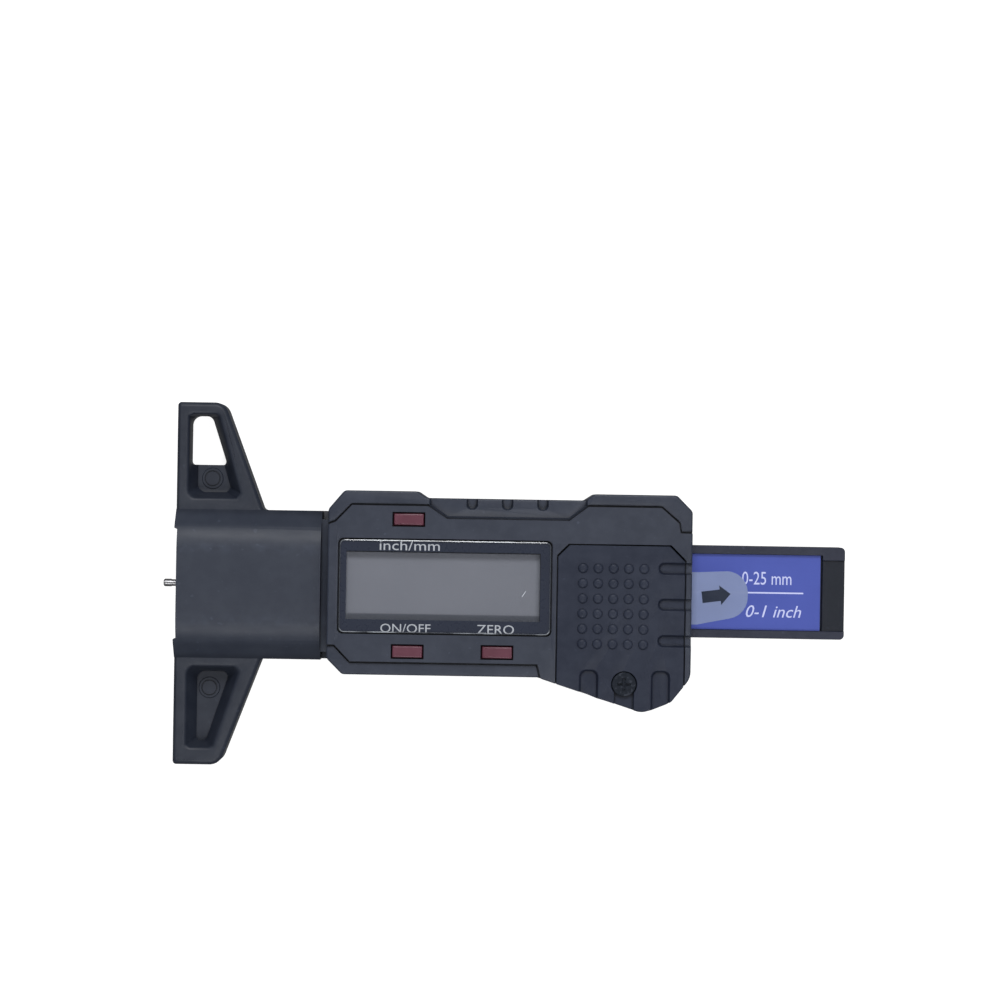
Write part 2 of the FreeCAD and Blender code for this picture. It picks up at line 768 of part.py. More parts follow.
def cut_housing_top(body):
    """Cut the window, the buttons' holes, the battery bay and the grip notches."""
    rim = outline(body, "window_plan", "top_level", box(
        "window_start", "window_end", "window_low", "window_high"))
    cut(body, "window_seat", rim, "top_level - window_seat")
    round_corners(body, "window_corners", "window_round", box(
        "window_start", "window_end", "window_low", "window_high"))
    view = outline(body, "view_plan", "window_seat", box(
        "view_start", "view_end", "view_low", "view_high"))
    cut(body, "view", view, "window_seat - ceiling_level")
    holes = outline(body, "button_hole_plan", "top_level", *[
        around(spot, "button_length + 2 * button_gap", "button_width + 2 * button_gap")
        for spot in BUTTONS.values()])
    cut(body, "button_holes", holes, "top_level - ceiling_level")
    bay = outline(body, "bay_plan", "top_level", [
        ("cover_start", "2 * bulge_tip_side"), ("cover_end", "2 * bulge_tip_side"),
        ("cover_end", "cover_high - cover_corner_rear"),
        ("cover_end - cover_corner_rear", "cover_high"),
        ("cover_start + cover_corner", "cover_high"), ("cover_start", "cover_high - cover_corner")])
    cut(body, "bay", bay, "cover_thickness")
    well = discs(body, "well_plan", "cover_seat", "cell_radius + cell_fit", ("cell_x", "cell_y"))
    cut(body, "well", well, "cover_seat - ceiling_level")
    boss = discs(body, "cover_boss_plan", "ceiling_level", "cover_boss",
                 ("cover_screw_x", "cover_screw_y"))
    pad(body, "cover_boss", boss, "cover_boss_drop - (cover_seat - ceiling_level)", back=True)
    pilot = discs(body, "cover_pilot_plan", "cover_seat", "cover_screw_radius + screw_fit",
                  ("cover_screw_x", "cover_screw_y"))
    cut(body, "cover_pilot", pilot, "cover_boss_drop")
    places = ["notch_first + %d * notch_pitch" % step for step in range(3)]
    notches = outline(body, "notch_plan", "grip_level", *[
        box(place + " - notch_width / 2", place + " + notch_width / 2", "notch_side", "side_high")
        for place in places])
    cut(body, "notches", notches, "notch_depth")
    round_corners(body, "notch_corners", "notch_width * 0.45", [
        (place + half, "notch_side") for place in places
        for half in (" - notch_width / 2", " + notch_width / 2")])
    slots = outline(body, "rim_slot_plan", "top_level", *side_slots("cover_end", "head_end"))
    cut(body, "rim_slots", slots, "side_slot_depth")


def side_slots(start, end):
    """Give the three finger slots that cross the cover's and the rim's edge."""
    return [box(start, end, place + " - side_slot_width / 2", place + " + side_slot_width / 2")
            for place in ("side_slot_high", "side_slot_middle", "side_slot_low")]


def cut_housing_ends(body):
    """Open both ends for the slider and slit the rear wall for the tab."""
    front = outline(body, "front_gate_plan", "head_front", box(
        "-bridge_width / 2", "bridge_width / 2", "tray_level", "channel_top + bridge_wall"),
        plane="YZ_Plane")
    cut(body, "front_gate", front, "shell_wall", ahead=True)
    rear = outline(body, "rear_gate_plan", "head_end", box(
        "-channel_half", "channel_half", "tray_level", "channel_top"), plane="YZ_Plane")
    cut(body, "rear_gate", rear, "shell_wall")
    slit = outline(body, "slit_plan", "head_end", box(
        "tab_low - slit_fit", "tab_high + slit_fit",
        "board_top + spring_rise - slit_fit", "cell_base + slit_fit"), plane="YZ_Plane")
    cut(body, "slit", slit, "shell_wall + door_fit")


def make_display_window():
    """Clear cover let into the top, its edge bevelled."""
    fit = "window_fit"
    body = block("display_window", box(
        "window_start + " + fit, "window_end - " + fit,
        "window_low + " + fit, "window_high - " + fit), "window_seat", "window_thickness")
    round_corners(body, "window_pane_corners", "window_round - window_fit", box(
        "window_start + " + fit, "window_end - " + fit,
        "window_low + " + fit, "window_high - " + fit))
    bevel_top(body, "window_bevels", "window_bevel", "window_seat + window_thickness")
    return body


def make_lcd_panel():
    """Glass display held up against the case's ceiling."""
    glass = box("view_start - glass_margin", "view_end + glass_margin",
                "view_low - glass_ledge", "view_high + glass_ledge")
    body = block("lcd_panel", glass, "ceiling_level - glass_thickness", "glass_thickness")
    ledge = outline(body, "glass_ledge_plan", "ceiling_level - glass_thickness / 2", box(
        "view_start - glass_margin", "view_end + glass_margin",
        "view_low - glass_ledge", "view_low - glass_ledge / 2"))
    cut(body, "glass_step", ledge, "glass_thickness / 2", ahead=True)
    return body


def make_zebra_strips():
    """Two rubber strips that join the display to the board."""
    start = "view_start"
    end = "view_end"
    plans = [
        box(start, end, "view_low - glass_ledge", "view_low - glass_ledge + zebra_width"),
        box(start, end, "view_high + glass_ledge - zebra_width", "view_high + glass_ledge"),
    ]
    body = new_body("zebra_strips")
    plan = outline(body, "zebra_plan", "board_top", *plans)
    pad(body, "zebras", plan, "ceiling_level - glass_thickness - board_top")
    return body


def make_circuit_board():
    """Board that follows the cavity and lets the bosses through."""
    body = new_body("circuit_board")
    plan = outline(body, "board_outline", "board_level", HEAD_CORNERS)
    inner = fit_inside(body, "board_plan", plan, "shell_wall + board_fit")
    pad(body, "board", inner, "board_thickness")
    holes = discs(body, "board_hole_plan", "board_top", "case_boss + case_boss_fit", *CASE_SCREWS)
    cut(body, "board_holes", holes, "board_thickness")
    front = outline(body, "board_front_plan", "board_level", box(
        "head_front", "head_front + shell_wall + 2 * board_fit",
        "-bridge_width / 2 - board_fit", "bridge_width / 2 + board_fit"))
    cut(body, "board_front", front, "board_thickness", ahead=True)
    return body


def make_chip_cap():
    """Drop of black resin over the bare chip."""
    body = new_body("chip_cap")
    plan = discs(body, "chip_plan", "board_top", "chip_radius", ("view_start + chip_run", "chip_y"))
    pad(body, "chip_drop", plan, "chip_height")
    return body


def make_switches():
    """Three push switches on the board, each open on top for its plunger."""
    body = new_body("tact_switches")
    plan = outline(body, "switch_plan", "board_top", *[
        around(spot, "switch_length", "switch_width") for spot in BUTTONS.values()])
    pad(body, "switches", plan, "switch_height")
    wells = discs(body, "plunger_well_plan", "board_top + switch_height",
                  "plunger_radius + plunger_fit", *BUTTONS.values())
    cut(body, "plunger_wells", wells, "button_travel + plunger_depth + plunger_fit")
    return body


def make_button(word, spot):
    """Red key cap with a flange below the case's top."""
    body = new_body("button_" + word)
    cap = outline(body, word + "_cap_plan", "ceiling_level", around(
        spot, "button_length", "button_width"))
    pad(body, word + "_cap", cap, "top_level + button_rise - ceiling_level")
    flange = outline(body, word + "_flange_plan", "ceiling_level", around(
        spot, "button_length + 2 * button_flange", "button_width + 2 * button_flange"))
    pad(body, word + "_flange", flange, "button_flange_thickness", back=True)
    stem = outline(body, word + "_stem_plan", "ceiling_level - button_flange_thickness",
                   around(spot, "button_width", "button_width"))
    pad(body, word + "_stem", stem, "ceiling_level - button_flange_thickness - "
        "(board_top + switch_height + plunger_rise)", back=True)
    bevel_top(body, word + "_edges", "button_rise / 2", "top_level + button_rise")
    return body


def make_plunger(word, spot):
    """Plunger that the key cap presses into its switch."""
    body = new_body("plunger_" + word)
    plan = discs(body, word + "_plunger_plan", "board_top + switch_height - plunger_depth",
                 "plunger_radius", spot)
    pad(body, word + "_plunger", plan, "plunger_depth + plunger_rise")
    return body


def make_battery_cell():
    """Coin cell: a wide can with a smaller lower face."""
    body = new_body("battery_cell")
    can = discs(body, "can_plan", "cell_top", "cell_radius", ("cell_x", "cell_y"))
    pad(body, "can", can, "cell_thickness - cell_face_rise", back=True)
    face = discs(body, "face_plan", "cell_base", "cell_radius - cell_face_inset",
                 ("cell_x", "cell_y"))
    pad(body, "face", face, "cell_face_rise")
    return body


def make_contact_negative():
    """Bowed strip under the cell, both ends on the board."""
    body = new_body("contact_negative")
    crown = "board_top + spring_rise"
    half = "spring_length / 2"
    top = "spring_crown / 2"
    profile = outline(body, "bow_profile", "-(cell_y + spring_width / 2)", [
        ("cell_x - " + half, "board_top"),
        ("cell_x - %s + spring_toe + spring_lap" % half, "board_top"),
        ("cell_x - %s + spring_lap" % top, crown + " - spring_sheet"),
        ("cell_x + %s - spring_lap" % top, crown + " - spring_sheet"),
        ("cell_x + %s - spring_toe - spring_lap" % half, "board_top"),
        ("cell_x + " + half, "board_top"), ("cell_x + " + half, "board_top + spring_sheet"),
        ("cell_x + %s - spring_toe" % half, "board_top + spring_sheet"),
        ("cell_x + " + top, crown), ("cell_x - " + top, crown),
        ("cell_x - %s + spring_toe" % half, "board_top + spring_sheet"),
        ("cell_x - " + half, "board_top + spring_sheet")], plane="XZ_Plane")
    pad(body, "bow", profile, "spring_width")
    return body


def make_contact_positive():
    """Bent clip on the board that bears on the cell's side."""
    body = new_body("contact_positive")
    side = "cell_x - cell_radius - clip_fit"
    profile = outline(body, "clip_profile", "-(cell_y + clip_width / 2)", [
        (side + " - clip_foot", "board_top"), (side, "board_top"),
        (side, "board_top + clip_height"), (side + " - spring_sheet", "board_top + clip_height"),
        (side + " - spring_sheet", "board_top + spring_sheet"),
        (side + " - clip_foot", "board_top + spring_sheet")], plane="XZ_Plane")
    pad(body, "clip", profile, "clip_width")
    return body


def make_pull_tab():
    """Film between the cell and its spring, led out through the rear slit."""
    low = "board_top + spring_rise + tab_fit"
    high = low + " + tab_sheet"
    body = block("pull_tab", [
        ("tab_start", "tab_low"), ("tab_bend", "tab_low"), ("tab_end", "tab_end_low"),
        ("tab_end", "tab_end_high"), ("tab_bend", "tab_high"), ("tab_start", "tab_high")],
        "tab_end_level", high + " - tab_end_level")
    round_corners(body, "tab_corners", "tab_round", [
        ("tab_end", "tab_end_low"), ("tab_end", "tab_end_high")])
    above = outline(body, "above_tab", "-tab_end_high", [
        ("tab_bend", high), ("tab_end", "tab_end_level + tab_sheet"), ("tab_end", high)],
        plane="XZ_Plane")
    cut(body, "tab_upper_face", above, "tab_end_high - tab_low", ahead=True)
    below = outline(body, "below_tab", "-tab_end_high", [
        ("tab_start", "tab_end_level"), ("tab_end", "tab_end_level"), ("tab_bend", low),
        ("tab_start", low)], plane="XZ_Plane")
    cut(body, "tab_lower_face", below, "tab_end_high - tab_low", ahead=True)
    return body


def make_battery_cover():
    """Cover with its grip bumps, slots and keyhole for the screw."""
    body = new_body("battery_cover")
    left = "cover_start + cover_gap"
    right = "cover_end - cover_gap"
    high = "cover_high - cover_gap"
    plan = outline(body, "cover_plan", "cover_seat", [
        (left, "side_low + bulge_slope * (%s - bulge_start)" % left),
        ("bulge_tip", "bulge_tip_side"), ("bulge_turn", "bulge_turn_side"),
        (right, "bulge_turn_side + turn_slope * (%s - bulge_turn)" % right),
        (right, high + " - cover_corner_rear"), (right + " - cover_corner_rear", high),
        (left + " + cover_corner", high), (left, high + " - cover_corner")])
    pad(body, "cover_plate", plan, "cover_thickness")
    round_corners(body, "cover_bulge", "bulge_round", HEAD_BULGE_CORNERS[:2])
    ribs = outline(body, "press_plan", "cover_seat", *[
        around(("cell_x", "cell_y " + shift), "press_rib_length", "press_rib_wall")
        for shift in ("- press_rib_spacing / 2", "+ press_rib_spacing / 2")])
    pad(body, "press_ribs", ribs, "cover_seat - cell_top - press_fit", back=True)
    slots = outline(body, "side_slot_plan", "top_level",
                    *side_slots("side_slot_start", "cover_end"))
    cut(body, "side_slots", slots, "side_slot_depth")
    feet = outline(body, "foot_slot_plan", "top_level", *[
        box(place + " - foot_slot_width / 2", place + " + foot_slot_width / 2",
            "2 * bulge_tip_side", "foot_slot_side")
        for place in ("foot_slot_first", "foot_slot_second")])
    cut(body, "foot_slots", feet, "foot_slot_depth")
    key = outline(body, "screw_slot_plan", "top_level", box(
        "cover_screw_x - screw_slot_width / 2", "cover_screw_x + screw_slot_width / 2",
        "2 * bulge_tip_side", "cover_screw_y"))
    cut(body, "screw_slot", key, "screw_slot_depth")
    seat = discs(body, "screw_seat_plan", "top_level", "cover_screw_head + screw_seat_gap",
                 ("cover_screw_x", "cover_screw_y"))
    cut(body, "screw_seat", seat, "screw_slot_depth")
    hole = discs(body, "cover_hole_plan", "top_level", "cover_screw_radius + screw_fit",
                 ("cover_screw_x", "cover_screw_y"))
    cut(body, "cover_hole", hole, "cover_thickness")
    round_slots(body)
    turns = [(step + 0.5) * math.pi / 3 for step in range(6)]
    first = outline(body, "bump_plan", "top_level", [
        ("bump_x + bump_radius * %.6f" % math.cos(turn),
         "bump_y + bump_radius * %.6f" % math.sin(turn)) for turn in turns])
    bump = pad(body, "bump", first, "bump_rise")
    spread_bumps(body, bump, first)
    return body


def round_slots(body):
    """Round the inner ends of the cover's slots."""
    sides = []
    for place in ("side_slot_high", "side_slot_middle", "side_slot_low"):
        sides.append(("side_slot_start", place + " - side_slot_width / 2"))
        sides.append(("side_slot_start", place + " + side_slot_width / 2"))
    round_corners(body, "side_slot_ends", "side_slot_width * 0.45", sides)
    feet = []
    for place, width in (("foot_slot_first", "foot_slot_width"),
                         ("foot_slot_second", "foot_slot_width")):
        feet.append((place + " - %s / 2" % width, "foot_slot_side"))
        feet.append((place + " + %s / 2" % width, "foot_slot_side"))
    round_corners(body, "foot_slot_ends", "foot_slot_width * 0.35", feet)


def spread_bumps(body, bump, sketch):
    """Repeat the first bump over the columns and rows."""
    grid = body.newObject("PartDesign::MultiTransform", "bump_grid")
    grid.Originals = [bump]
    steps = []
    for axis, count, pitch in (("H_Axis", "bump_columns", "bump_pitch_x"),
                               ("V_Axis", "bump_rows", "bump_pitch_y")):
        line = doc.addObject("PartDesign::LinearPattern", "bumps_" + count)
        line.Direction = (sketch, [axis])
        line.setExpression("Length", bind("(%s - 1) * %s" % (count, pitch)))
        line.setExpression("Occurrences", bind(count))
        steps.append(line)
    grid.Transformations = steps
    body.Tip = grid
    doc.recompute()


def make_cover_screw():
    """Cross-head screw that holds the battery cover."""
    body = new_body("cover_screw")
    spot = ("cover_screw_x", "cover_screw_y")
    seat = "top_level - screw_slot_depth"
    head = discs(body, "cover_head_plan", seat, "cover_screw_head", spot)
    pad(body, "cover_head", head, "cover_screw_head_height")
    shank = discs(body, "cover_shank_plan", seat, "cover_screw_radius", spot)
    pad(body, "cover_shank", shank, "cover_screw_length", back=True)
    cross = outline(body, "cover_cross_plan", seat + " + cover_screw_head_height",
                    around(spot, "cover_screw_head * 1.1", "cover_screw_head * 0.22"))
    cut(body, "cover_cross", cross, "cover_screw_head_height * 0.6")
    second = outline(body, "cover_cross_plan_2", seat + " + cover_screw_head_height",
                     around(spot, "cover_screw_head * 0.22", "cover_screw_head * 1.1"))
    cut(body, "cover_cross_2", second, "cover_screw_head_height * 0.6")
    return body


def make_case_screws():
    """Four screws that draw the case onto the frame from the back."""
    body = new_body("case_screws")
    heads = discs(body, "case_head_plan", "case_screw_recess", "case_screw_head", *CASE_SCREWS)
    pad(body, "case_heads", heads, "case_screw_head_height")
    shanks = discs(body, "case_shank_plan", "case_screw_recess + case_screw_head_height",
                   "case_screw_radius", *CASE_SCREWS)
    pad(body, "case_shanks", shanks, "case_screw_length")
    return body


def make_slider():
    """Moulded bar with two raised rails beside the recess for the scale."""
    body = block("slider", box("slider_front", "slider_end", "-slider_width / 2",
                               "slider_width / 2"), "slider_base", "slider_thickness")
    round_corners(body, "slider_corners", "slider_round", [
        ("slider_end", "-slider_width / 2"), ("slider_end", "slider_width / 2")])
    recess = outline(body, "recess_plan", "slider_top", box(
        "recess_start", "recess_end", "-slider_width / 2 + rail_width",
        "slider_width / 2 - rail_width"))
    cut(body, "recess", recess, "board_bed")
    step = outline(body, "end_step_plan", "slider_top", box(
        "recess_end", "slider_end", "-slider_width / 2 + rail_width", "end_step_high"))
    cut(body, "end_step", step, "end_step_depth")
    bore = discs(body, "probe_seat_plan", "slider_front", "probe_radius",
                 ("0", "probe_level"), plane="YZ_Plane")
    cut(body, "probe_seat", bore, "probe_grip", ahead=True)
    hole = discs(body, "stop_hole_plan", "slider_top", "stop_radius", ("stop_x", "0"))
    cut(body, "stop_hole", hole, "slider_thickness")
    return body


def make_scale_board():
    """Long strip whose pattern the board above reads."""
    return block("scale_board", box(
        "recess_start + label_fit", "recess_end - label_end_gap",
        "-slider_width / 2 + rail_width + label_fit", "slider_width / 2 - rail_width - label_fit"),
        "slider_top - board_bed", "scale_thickness")


def make_slider_label():
    """Printed film on the scale board."""
    return block("slider_label", box(
        "recess_start + label_fit", "recess_end - label_end_gap",
        "-slider_width / 2 + rail_width + label_fit", "slider_width / 2 - rail_width - label_fit"),
        "slider_top - board_bed + scale_thickness", "label_thickness")


def make_probe_pin():
    """Steel pin pressed in the slider, with a slightly thicker tip."""
    body = new_body("probe_pin")
    tip = "-probe_reach"
    shaft = "probe_neck_radius"
    spot = ("0", "probe_level")
    grip = discs(body, "pin_grip_plan", "slider_front + probe_grip", "probe_radius", spot,
                 plane="YZ_Plane")
    pad(body, "pin_grip", grip, "probe_grip + slider_front - front_wall * 2", back=True)
    bearing = discs(body, "pin_bearing_plan", 0, "probe_radius", spot, plane="YZ_Plane")
    pad(body, "pin_bearing", bearing, "front_wall * 2")
    neck = discs(body, "pin_neck_plan", 0, shaft, spot, plane="YZ_Plane")
    pad(body, "pin_neck", neck, "probe_reach - probe_tip_length", back=True)
    end = discs(body, "pin_tip_plan", tip, "probe_radius", spot, plane="YZ_Plane")
    pad(body, "pin_tip", end, "probe_tip_length")
    face = value(tip)
    bevel_edges(body, "pin_tip_edge", "probe_tip_bevel",
                lambda edge: edge.BoundBox.XMax < face + 0.01)
    return body


def make_stop_pin():
    """Pin through the slider that runs in the floor's groove."""
    body = new_body("stop_pin")
    plan = discs(body, "stop_plan", "slider_top - board_bed", "stop_radius", ("stop_x", "0"))
    pad(body, "stop", plan, "slider_thickness - board_bed + running_fit + stop_drop", back=True)
    return body


pieces = [
    make_base_frame(),
    make_head_housing(),
    make_display_window(),
    make_lcd_panel(),
    make_zebra_strips(),
    make_circuit_board(),
    make_chip_cap(),
    make_switches(),
    make_battery_cell(),
    make_contact_negative(),
    make_contact_positive(),
    make_pull_tab(),
    make_battery_cover(),
    make_cover_screw(),
    make_case_screws(),
    make_slider(),
    make_scale_board(),
    make_slider_label(),
    make_probe_pin(),
    make_stop_pin(),
]
for word, spot in BUTTONS.items():
    pieces.append(make_button(word, spot))
    pieces.append(make_plunger(word, spot))

doc.recompute()
for item in doc.Objects:
    if "Invalid" in item.State or "Error" in item.State:
        raise RuntimeError("%s did not build: %s" % (item.Name, item.State))
for piece in pieces:
    if piece.Shape.isNull() or not piece.Shape.isValid():
        raise RuntimeError(piece.Label + " has no sound shape")

os.makedirs("parts", exist_ok=True)
for piece in pieces:
    piece.Shape.exportStep(os.path.join("parts", piece.Label + ".step"))
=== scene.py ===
import math

import bmesh
import bpy
from mathutils import Matrix, Vector


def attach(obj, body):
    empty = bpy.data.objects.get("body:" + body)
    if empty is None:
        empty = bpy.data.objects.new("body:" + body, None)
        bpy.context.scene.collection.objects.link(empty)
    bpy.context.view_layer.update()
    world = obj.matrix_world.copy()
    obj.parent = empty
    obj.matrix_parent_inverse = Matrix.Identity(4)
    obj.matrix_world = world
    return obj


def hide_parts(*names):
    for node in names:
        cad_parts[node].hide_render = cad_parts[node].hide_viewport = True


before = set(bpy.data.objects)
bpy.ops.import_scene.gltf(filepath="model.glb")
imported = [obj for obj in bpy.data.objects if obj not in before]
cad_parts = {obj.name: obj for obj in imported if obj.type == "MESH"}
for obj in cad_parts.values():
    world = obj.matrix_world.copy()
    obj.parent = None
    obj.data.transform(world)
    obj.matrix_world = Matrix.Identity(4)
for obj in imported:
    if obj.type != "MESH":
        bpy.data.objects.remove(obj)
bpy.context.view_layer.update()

# ---------------------------------------------------------------------------
# Base frame: one charcoal moulding.  Its two hollowed ears carry the measuring
# face, the humped neck covers the slider, and the rear tray closes the head
# from below.  Fine spark-eroded texture all over, edges broken by the mould.
# ---------------------------------------------------------------------------
MM = 0.001


class Wire:
    """An output of a finish's nodes.  Sums and products of it add Math nodes."""

    def __init__(self, tree, socket):
        self.tree = tree
        self.socket = socket

    def node(self, kind, settings=None, sockets=None, output=0):
        """Add a node: its settings come first, then its sockets' values or links."""
        made = self.tree.nodes.new(kind)
        for name, setting in (settings or {}).items():
            setattr(made, name, setting)
        for name, given in (sockets or {}).items():
            if isinstance(given, Wire):
                self.tree.links.new(given.socket, made.inputs[name])
            else:
                made.inputs[name].default_value = given
        return Wire(self.tree, made.outputs[output])

    def maths(self, operation, *terms):
        """Add a Math node on terms that are wires or numbers."""
        return self.node("ShaderNodeMath", {"operation": operation}, dict(enumerate(terms)))

    def axis(self, output):
        """One coordinate of a place: 0, 1 or 2."""
        return self.node("ShaderNodeSeparateXYZ", None, {"Vector": self}, output)

    def ramp(self, low, high):
        """0 below low, 1 above high, and smooth between them."""
        return self.node("ShaderNodeMapRange", {"interpolation_type": "SMOOTHSTEP"}, {
            "Value": self, "From Min": low, "From Max": high})

    def __add__(self, other):
        return self.maths("ADD", self, other)

    def __sub__(self, other):
        return self.maths("SUBTRACT", self, other)

    def __rsub__(self, other):
        return self.maths("SUBTRACT", other, self)

    def __mul__(self, other):
        return self.maths("MULTIPLY", self, other)

    __radd__ = __add__
    __rmul__ = __mul__


def finish_of(name, steady):
    """Open a material; steady holds the values that are the same all over it."""
    made = bpy.data.materials.new(name)
    made.use_nodes = True
    shader = made.node_tree.nodes["Principled BSDF"]
    for socket, amount in steady.items():
        shader.inputs[socket].default_value = amount
    places = made.node_tree.nodes.new("ShaderNodeTexCoord")
    return made, shader, Wire(made.node_tree, places.outputs["Object"])


def feed(shader, **wires):
    """Lead wires into the shader's sockets, named with _ for a blank."""
    for name, wire in wires.items():
        wire.tree.links.new(wire.socket, shader.inputs[name.replace("_", " ")])


def grains(place, scale, detail=2.0, roughness=0.5):
    """Cloudy noise; scale counts its grains per metre."""
    return place.node("ShaderNodeTexNoise", {"noise_dimensions": "3D"}, {
        "Vector": place, "Scale": scale, "Detail": detail, "Roughness": roughness})


def stretched(place, scale):
    """The same place with its coordinates stretched, for brushed or rubbed marks."""
    return place.node("ShaderNodeMapping", None, {"Vector": place, "Scale": scale})


def between(amount, low, high):
    """Mix two colours, or a colour and a wire, by an amount: the Mix node's sockets 0, 6 and 7."""
    return amount.node("ShaderNodeMix", {"data_type": "RGBA"}, {
        0: amount, 6: low, 7: high}, output=2)


def relief(height, depth, strength):
    """Bumps as deep as depth, in metres, where height is 1."""
    return height.node("ShaderNodeBump", None, {
        "Strength": strength, "Distance": depth, "Height": height})


def moulded_plastic(name, dark, light, coarse=0.46, gloss=0.28, wear_and_sheen=None, alone=False,
                    nook_shade=(0.35, 0.90)):
    """Spark-eroded moulding: blotched colour, pin-prick grain, dull rubs, pale specks and, where
    a function for the place is given, a lighter tone that is painted highlight mixed with
    handling wear.  Painted shade darkens the nooks: full below the first openness value given,
    none above the second.  Alone leaves out the nooks that it makes with other pieces, for a
    piece that slides past them."""
    made, shader, place = finish_of(name, {"IOR": 1.49, "Specular IOR Level": gloss})
    cloud = grains(place, 110.0, 2.0).ramp(0.35, 0.65)
    blotch = grains(place, 420.0, 3.0, 0.6).ramp(0.36, 0.66)
    fine = grains(place, 5200.0, 2.0, 0.6)
    rub = grains(stretched(place, (0.35, 1.0, 1.0)), 420.0, 4.0, 0.65)
    # Openness within 0.7 mm of each spot: it leads the painted shade in nooks, creases and between parts.
    nook_openness = place.node("ShaderNodeAmbientOcclusion", {"samples": 8, "only_local": alone},
                       {"Distance": 0.7 * MM}, output=1)
    # Pale specks at random; where a place function is given, painted sheen and wear are added on top, all
    # lightening the tone.
    specks_wear_and_sheen = grains(place, 1300.0, 0.0).ramp(0.76, 0.92) * 0.35
    if wear_and_sheen:
        specks_wear_and_sheen = specks_wear_and_sheen + wear_and_sheen(place)
    # Painted shade: the darkened colour that the nooks take.
    painted_nook_shade = [channel * 0.36 for channel in dark[:3]] + [1.0]
    bare_and_sheen = [channel * 2.2 for channel in light[:3]] + [1.0]
    tone = between(specks_wear_and_sheen, between(cloud * 0.40 + blotch * 0.45 + fine * 0.15, dark, light), bare_and_sheen)
    feed(shader,
         Base_Color=between(nook_openness.ramp(*nook_shade), painted_nook_shade, tone),
         Roughness=coarse + (rub - 0.5) * 0.20 + (fine - 0.5) * 0.10,
         Normal=relief(fine * 0.7 + blotch * 0.3, 0.02 * MM, 0.16))
    return made


def shown(name, mesh, finish, body):
    """Put a finished mesh in the scene as a piece that rides on a body."""
    piece = bpy.data.objects.new(name, mesh)
    bpy.context.scene.collection.objects.link(piece)
    mesh.materials.append(finish)
    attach(piece, body)
    return piece


def weld(shape):
    """Merge the vertices that coincide and turn the flats back into whole faces."""
    bmesh.ops.remove_doubles(shape, verts=shape.verts, dist=0.002 * MM)
    bmesh.ops.dissolve_limit(shape, angle_limit=math.radians(0.6), verts=shape.verts,
                             edges=shape.edges, use_dissolve_boundaries=False)


def merged_copy(node, name, finish, body):
    """Stand a welded copy of a CAD node in its place."""
    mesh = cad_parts[node].data.copy()
    shape = bmesh.new()
    shape.from_mesh(mesh)
    weld(shape)
    shape.to_mesh(mesh)
    shape.free()
    mesh.materials.clear()
    piece = shown(name, mesh, finish, body)
    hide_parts(node)
    return piece


def smooth_faces(piece):
    """Shade curves smoothly and keep the flats' edges."""
    for face in piece.data.polygons:
        face.use_smooth = True
    piece.data.set_sharp_from_angle(angle=math.radians(32))


def break_edges(piece, width):
    """Round a piece's sharp edges by a width in mm, as a mould does."""
    soft = piece.modifiers.new("broken edges", "BEVEL")
    soft.width = width * MM
    soft.segments = 2
    soft.limit_method = "ANGLE"
    soft.angle_limit = math.radians(38)
    soft.use_clamp_overlap = True
    smooth_faces(piece)


def turned(name, profile, centre, steps, finish, body):
    """Turn a profile of (radius, height) points, in mm, about an upright line at a centre."""
    mesh = bpy.data.meshes.new(name)
    shape = bmesh.new()
    along, across = centre[0] * MM, centre[1] * MM
    points = [shape.verts.new((along + radius * MM, across, height * MM)) for radius, height in profile]
    edges = [shape.edges.new(pair) for pair in zip(points, points[1:])]
    bmesh.ops.spin(shape, geom=points + edges, cent=(along, across, 0),
                   axis=(0, 0, 1), angle=math.tau, steps=steps, use_merge=True)
    bmesh.ops.remove_doubles(shape, verts=shape.verts, dist=0.001 * MM)
    bmesh.ops.recalc_face_normals(shape, faces=shape.faces)
    shape.to_mesh(mesh)
    shape.free()
    piece = shown(name, mesh, finish, body)
    smooth_faces(piece)
    return piece


def crown_sheen_and_wear(place):
    """Painted light on the hump: its crown is lighter than the ears below it, and its two long edges carry
    painted highlights in patches, mixed with handling wear.
    """
    side = place.axis(1).maths("ABSOLUTE", place.axis(1))
    band = side.ramp(4.6 * MM, 5.7 * MM) - side.ramp(6.3 * MM, 7.2 * MM)
    patches = grains(place, 380.0, 4.0, 0.6).ramp(0.40, 0.70)
    return place.axis(2).ramp(6.1 * MM, 7.1 * MM) * (band * patches * 0.24 + 0.25)


frame_plastic = moulded_plastic("frame_plastic", (0.011, 0.0145, 0.025, 1), (0.0195, 0.024, 0.036, 1),
                                wear_and_sheen=crown_sheen_and_wear)
frame_moulding = merged_copy("base_frame", "frame_moulding", frame_plastic, "frame")

EAR_TOP = 6.0
EAR_TIP = 30.1
EAR_ROOT = 14.45
EAR_SLOPE = 0.38
NECK_SIDE = 12.35
RELIEF_DEPTH = 0.5
RELIEF_SIDE = 9.1
TOUCH = 0.05
TOP_TOUCH = 0.01


def at_pocket_mouth(spot):
    """Tell whether a vertex of the ears' top lies well inside their outer edges."""
    along, side, height = (abs(length) / MM for length in spot.co)
    slant = EAR_ROOT - EAR_SLOPE * (side - NECK_SIDE)
    return (height > EAR_TOP - TOP_TOUCH and NECK_SIDE + 0.65 < side < EAR_TIP - 0.9
            and 1.0 < along < slant - 1.25)


def on_relief(spot):
    """Tell whether a vertex lies on an upright edge of the relief's two steps."""
    along, side = spot.co.x / MM, abs(spot.co.y) / MM
    return along < RELIEF_DEPTH + 0.1 and abs(side - RELIEF_SIDE) < TOUCH


def on_ear_outline(spot):
    """Tell whether a vertex lies on the outer edges of the ears' top."""
    side, height = abs(spot.co.y) / MM, spot.co.z / MM
    return height > EAR_TOP - TOP_TOUCH and side > NECK_SIDE + TOUCH and not at_pocket_mouth(spot)


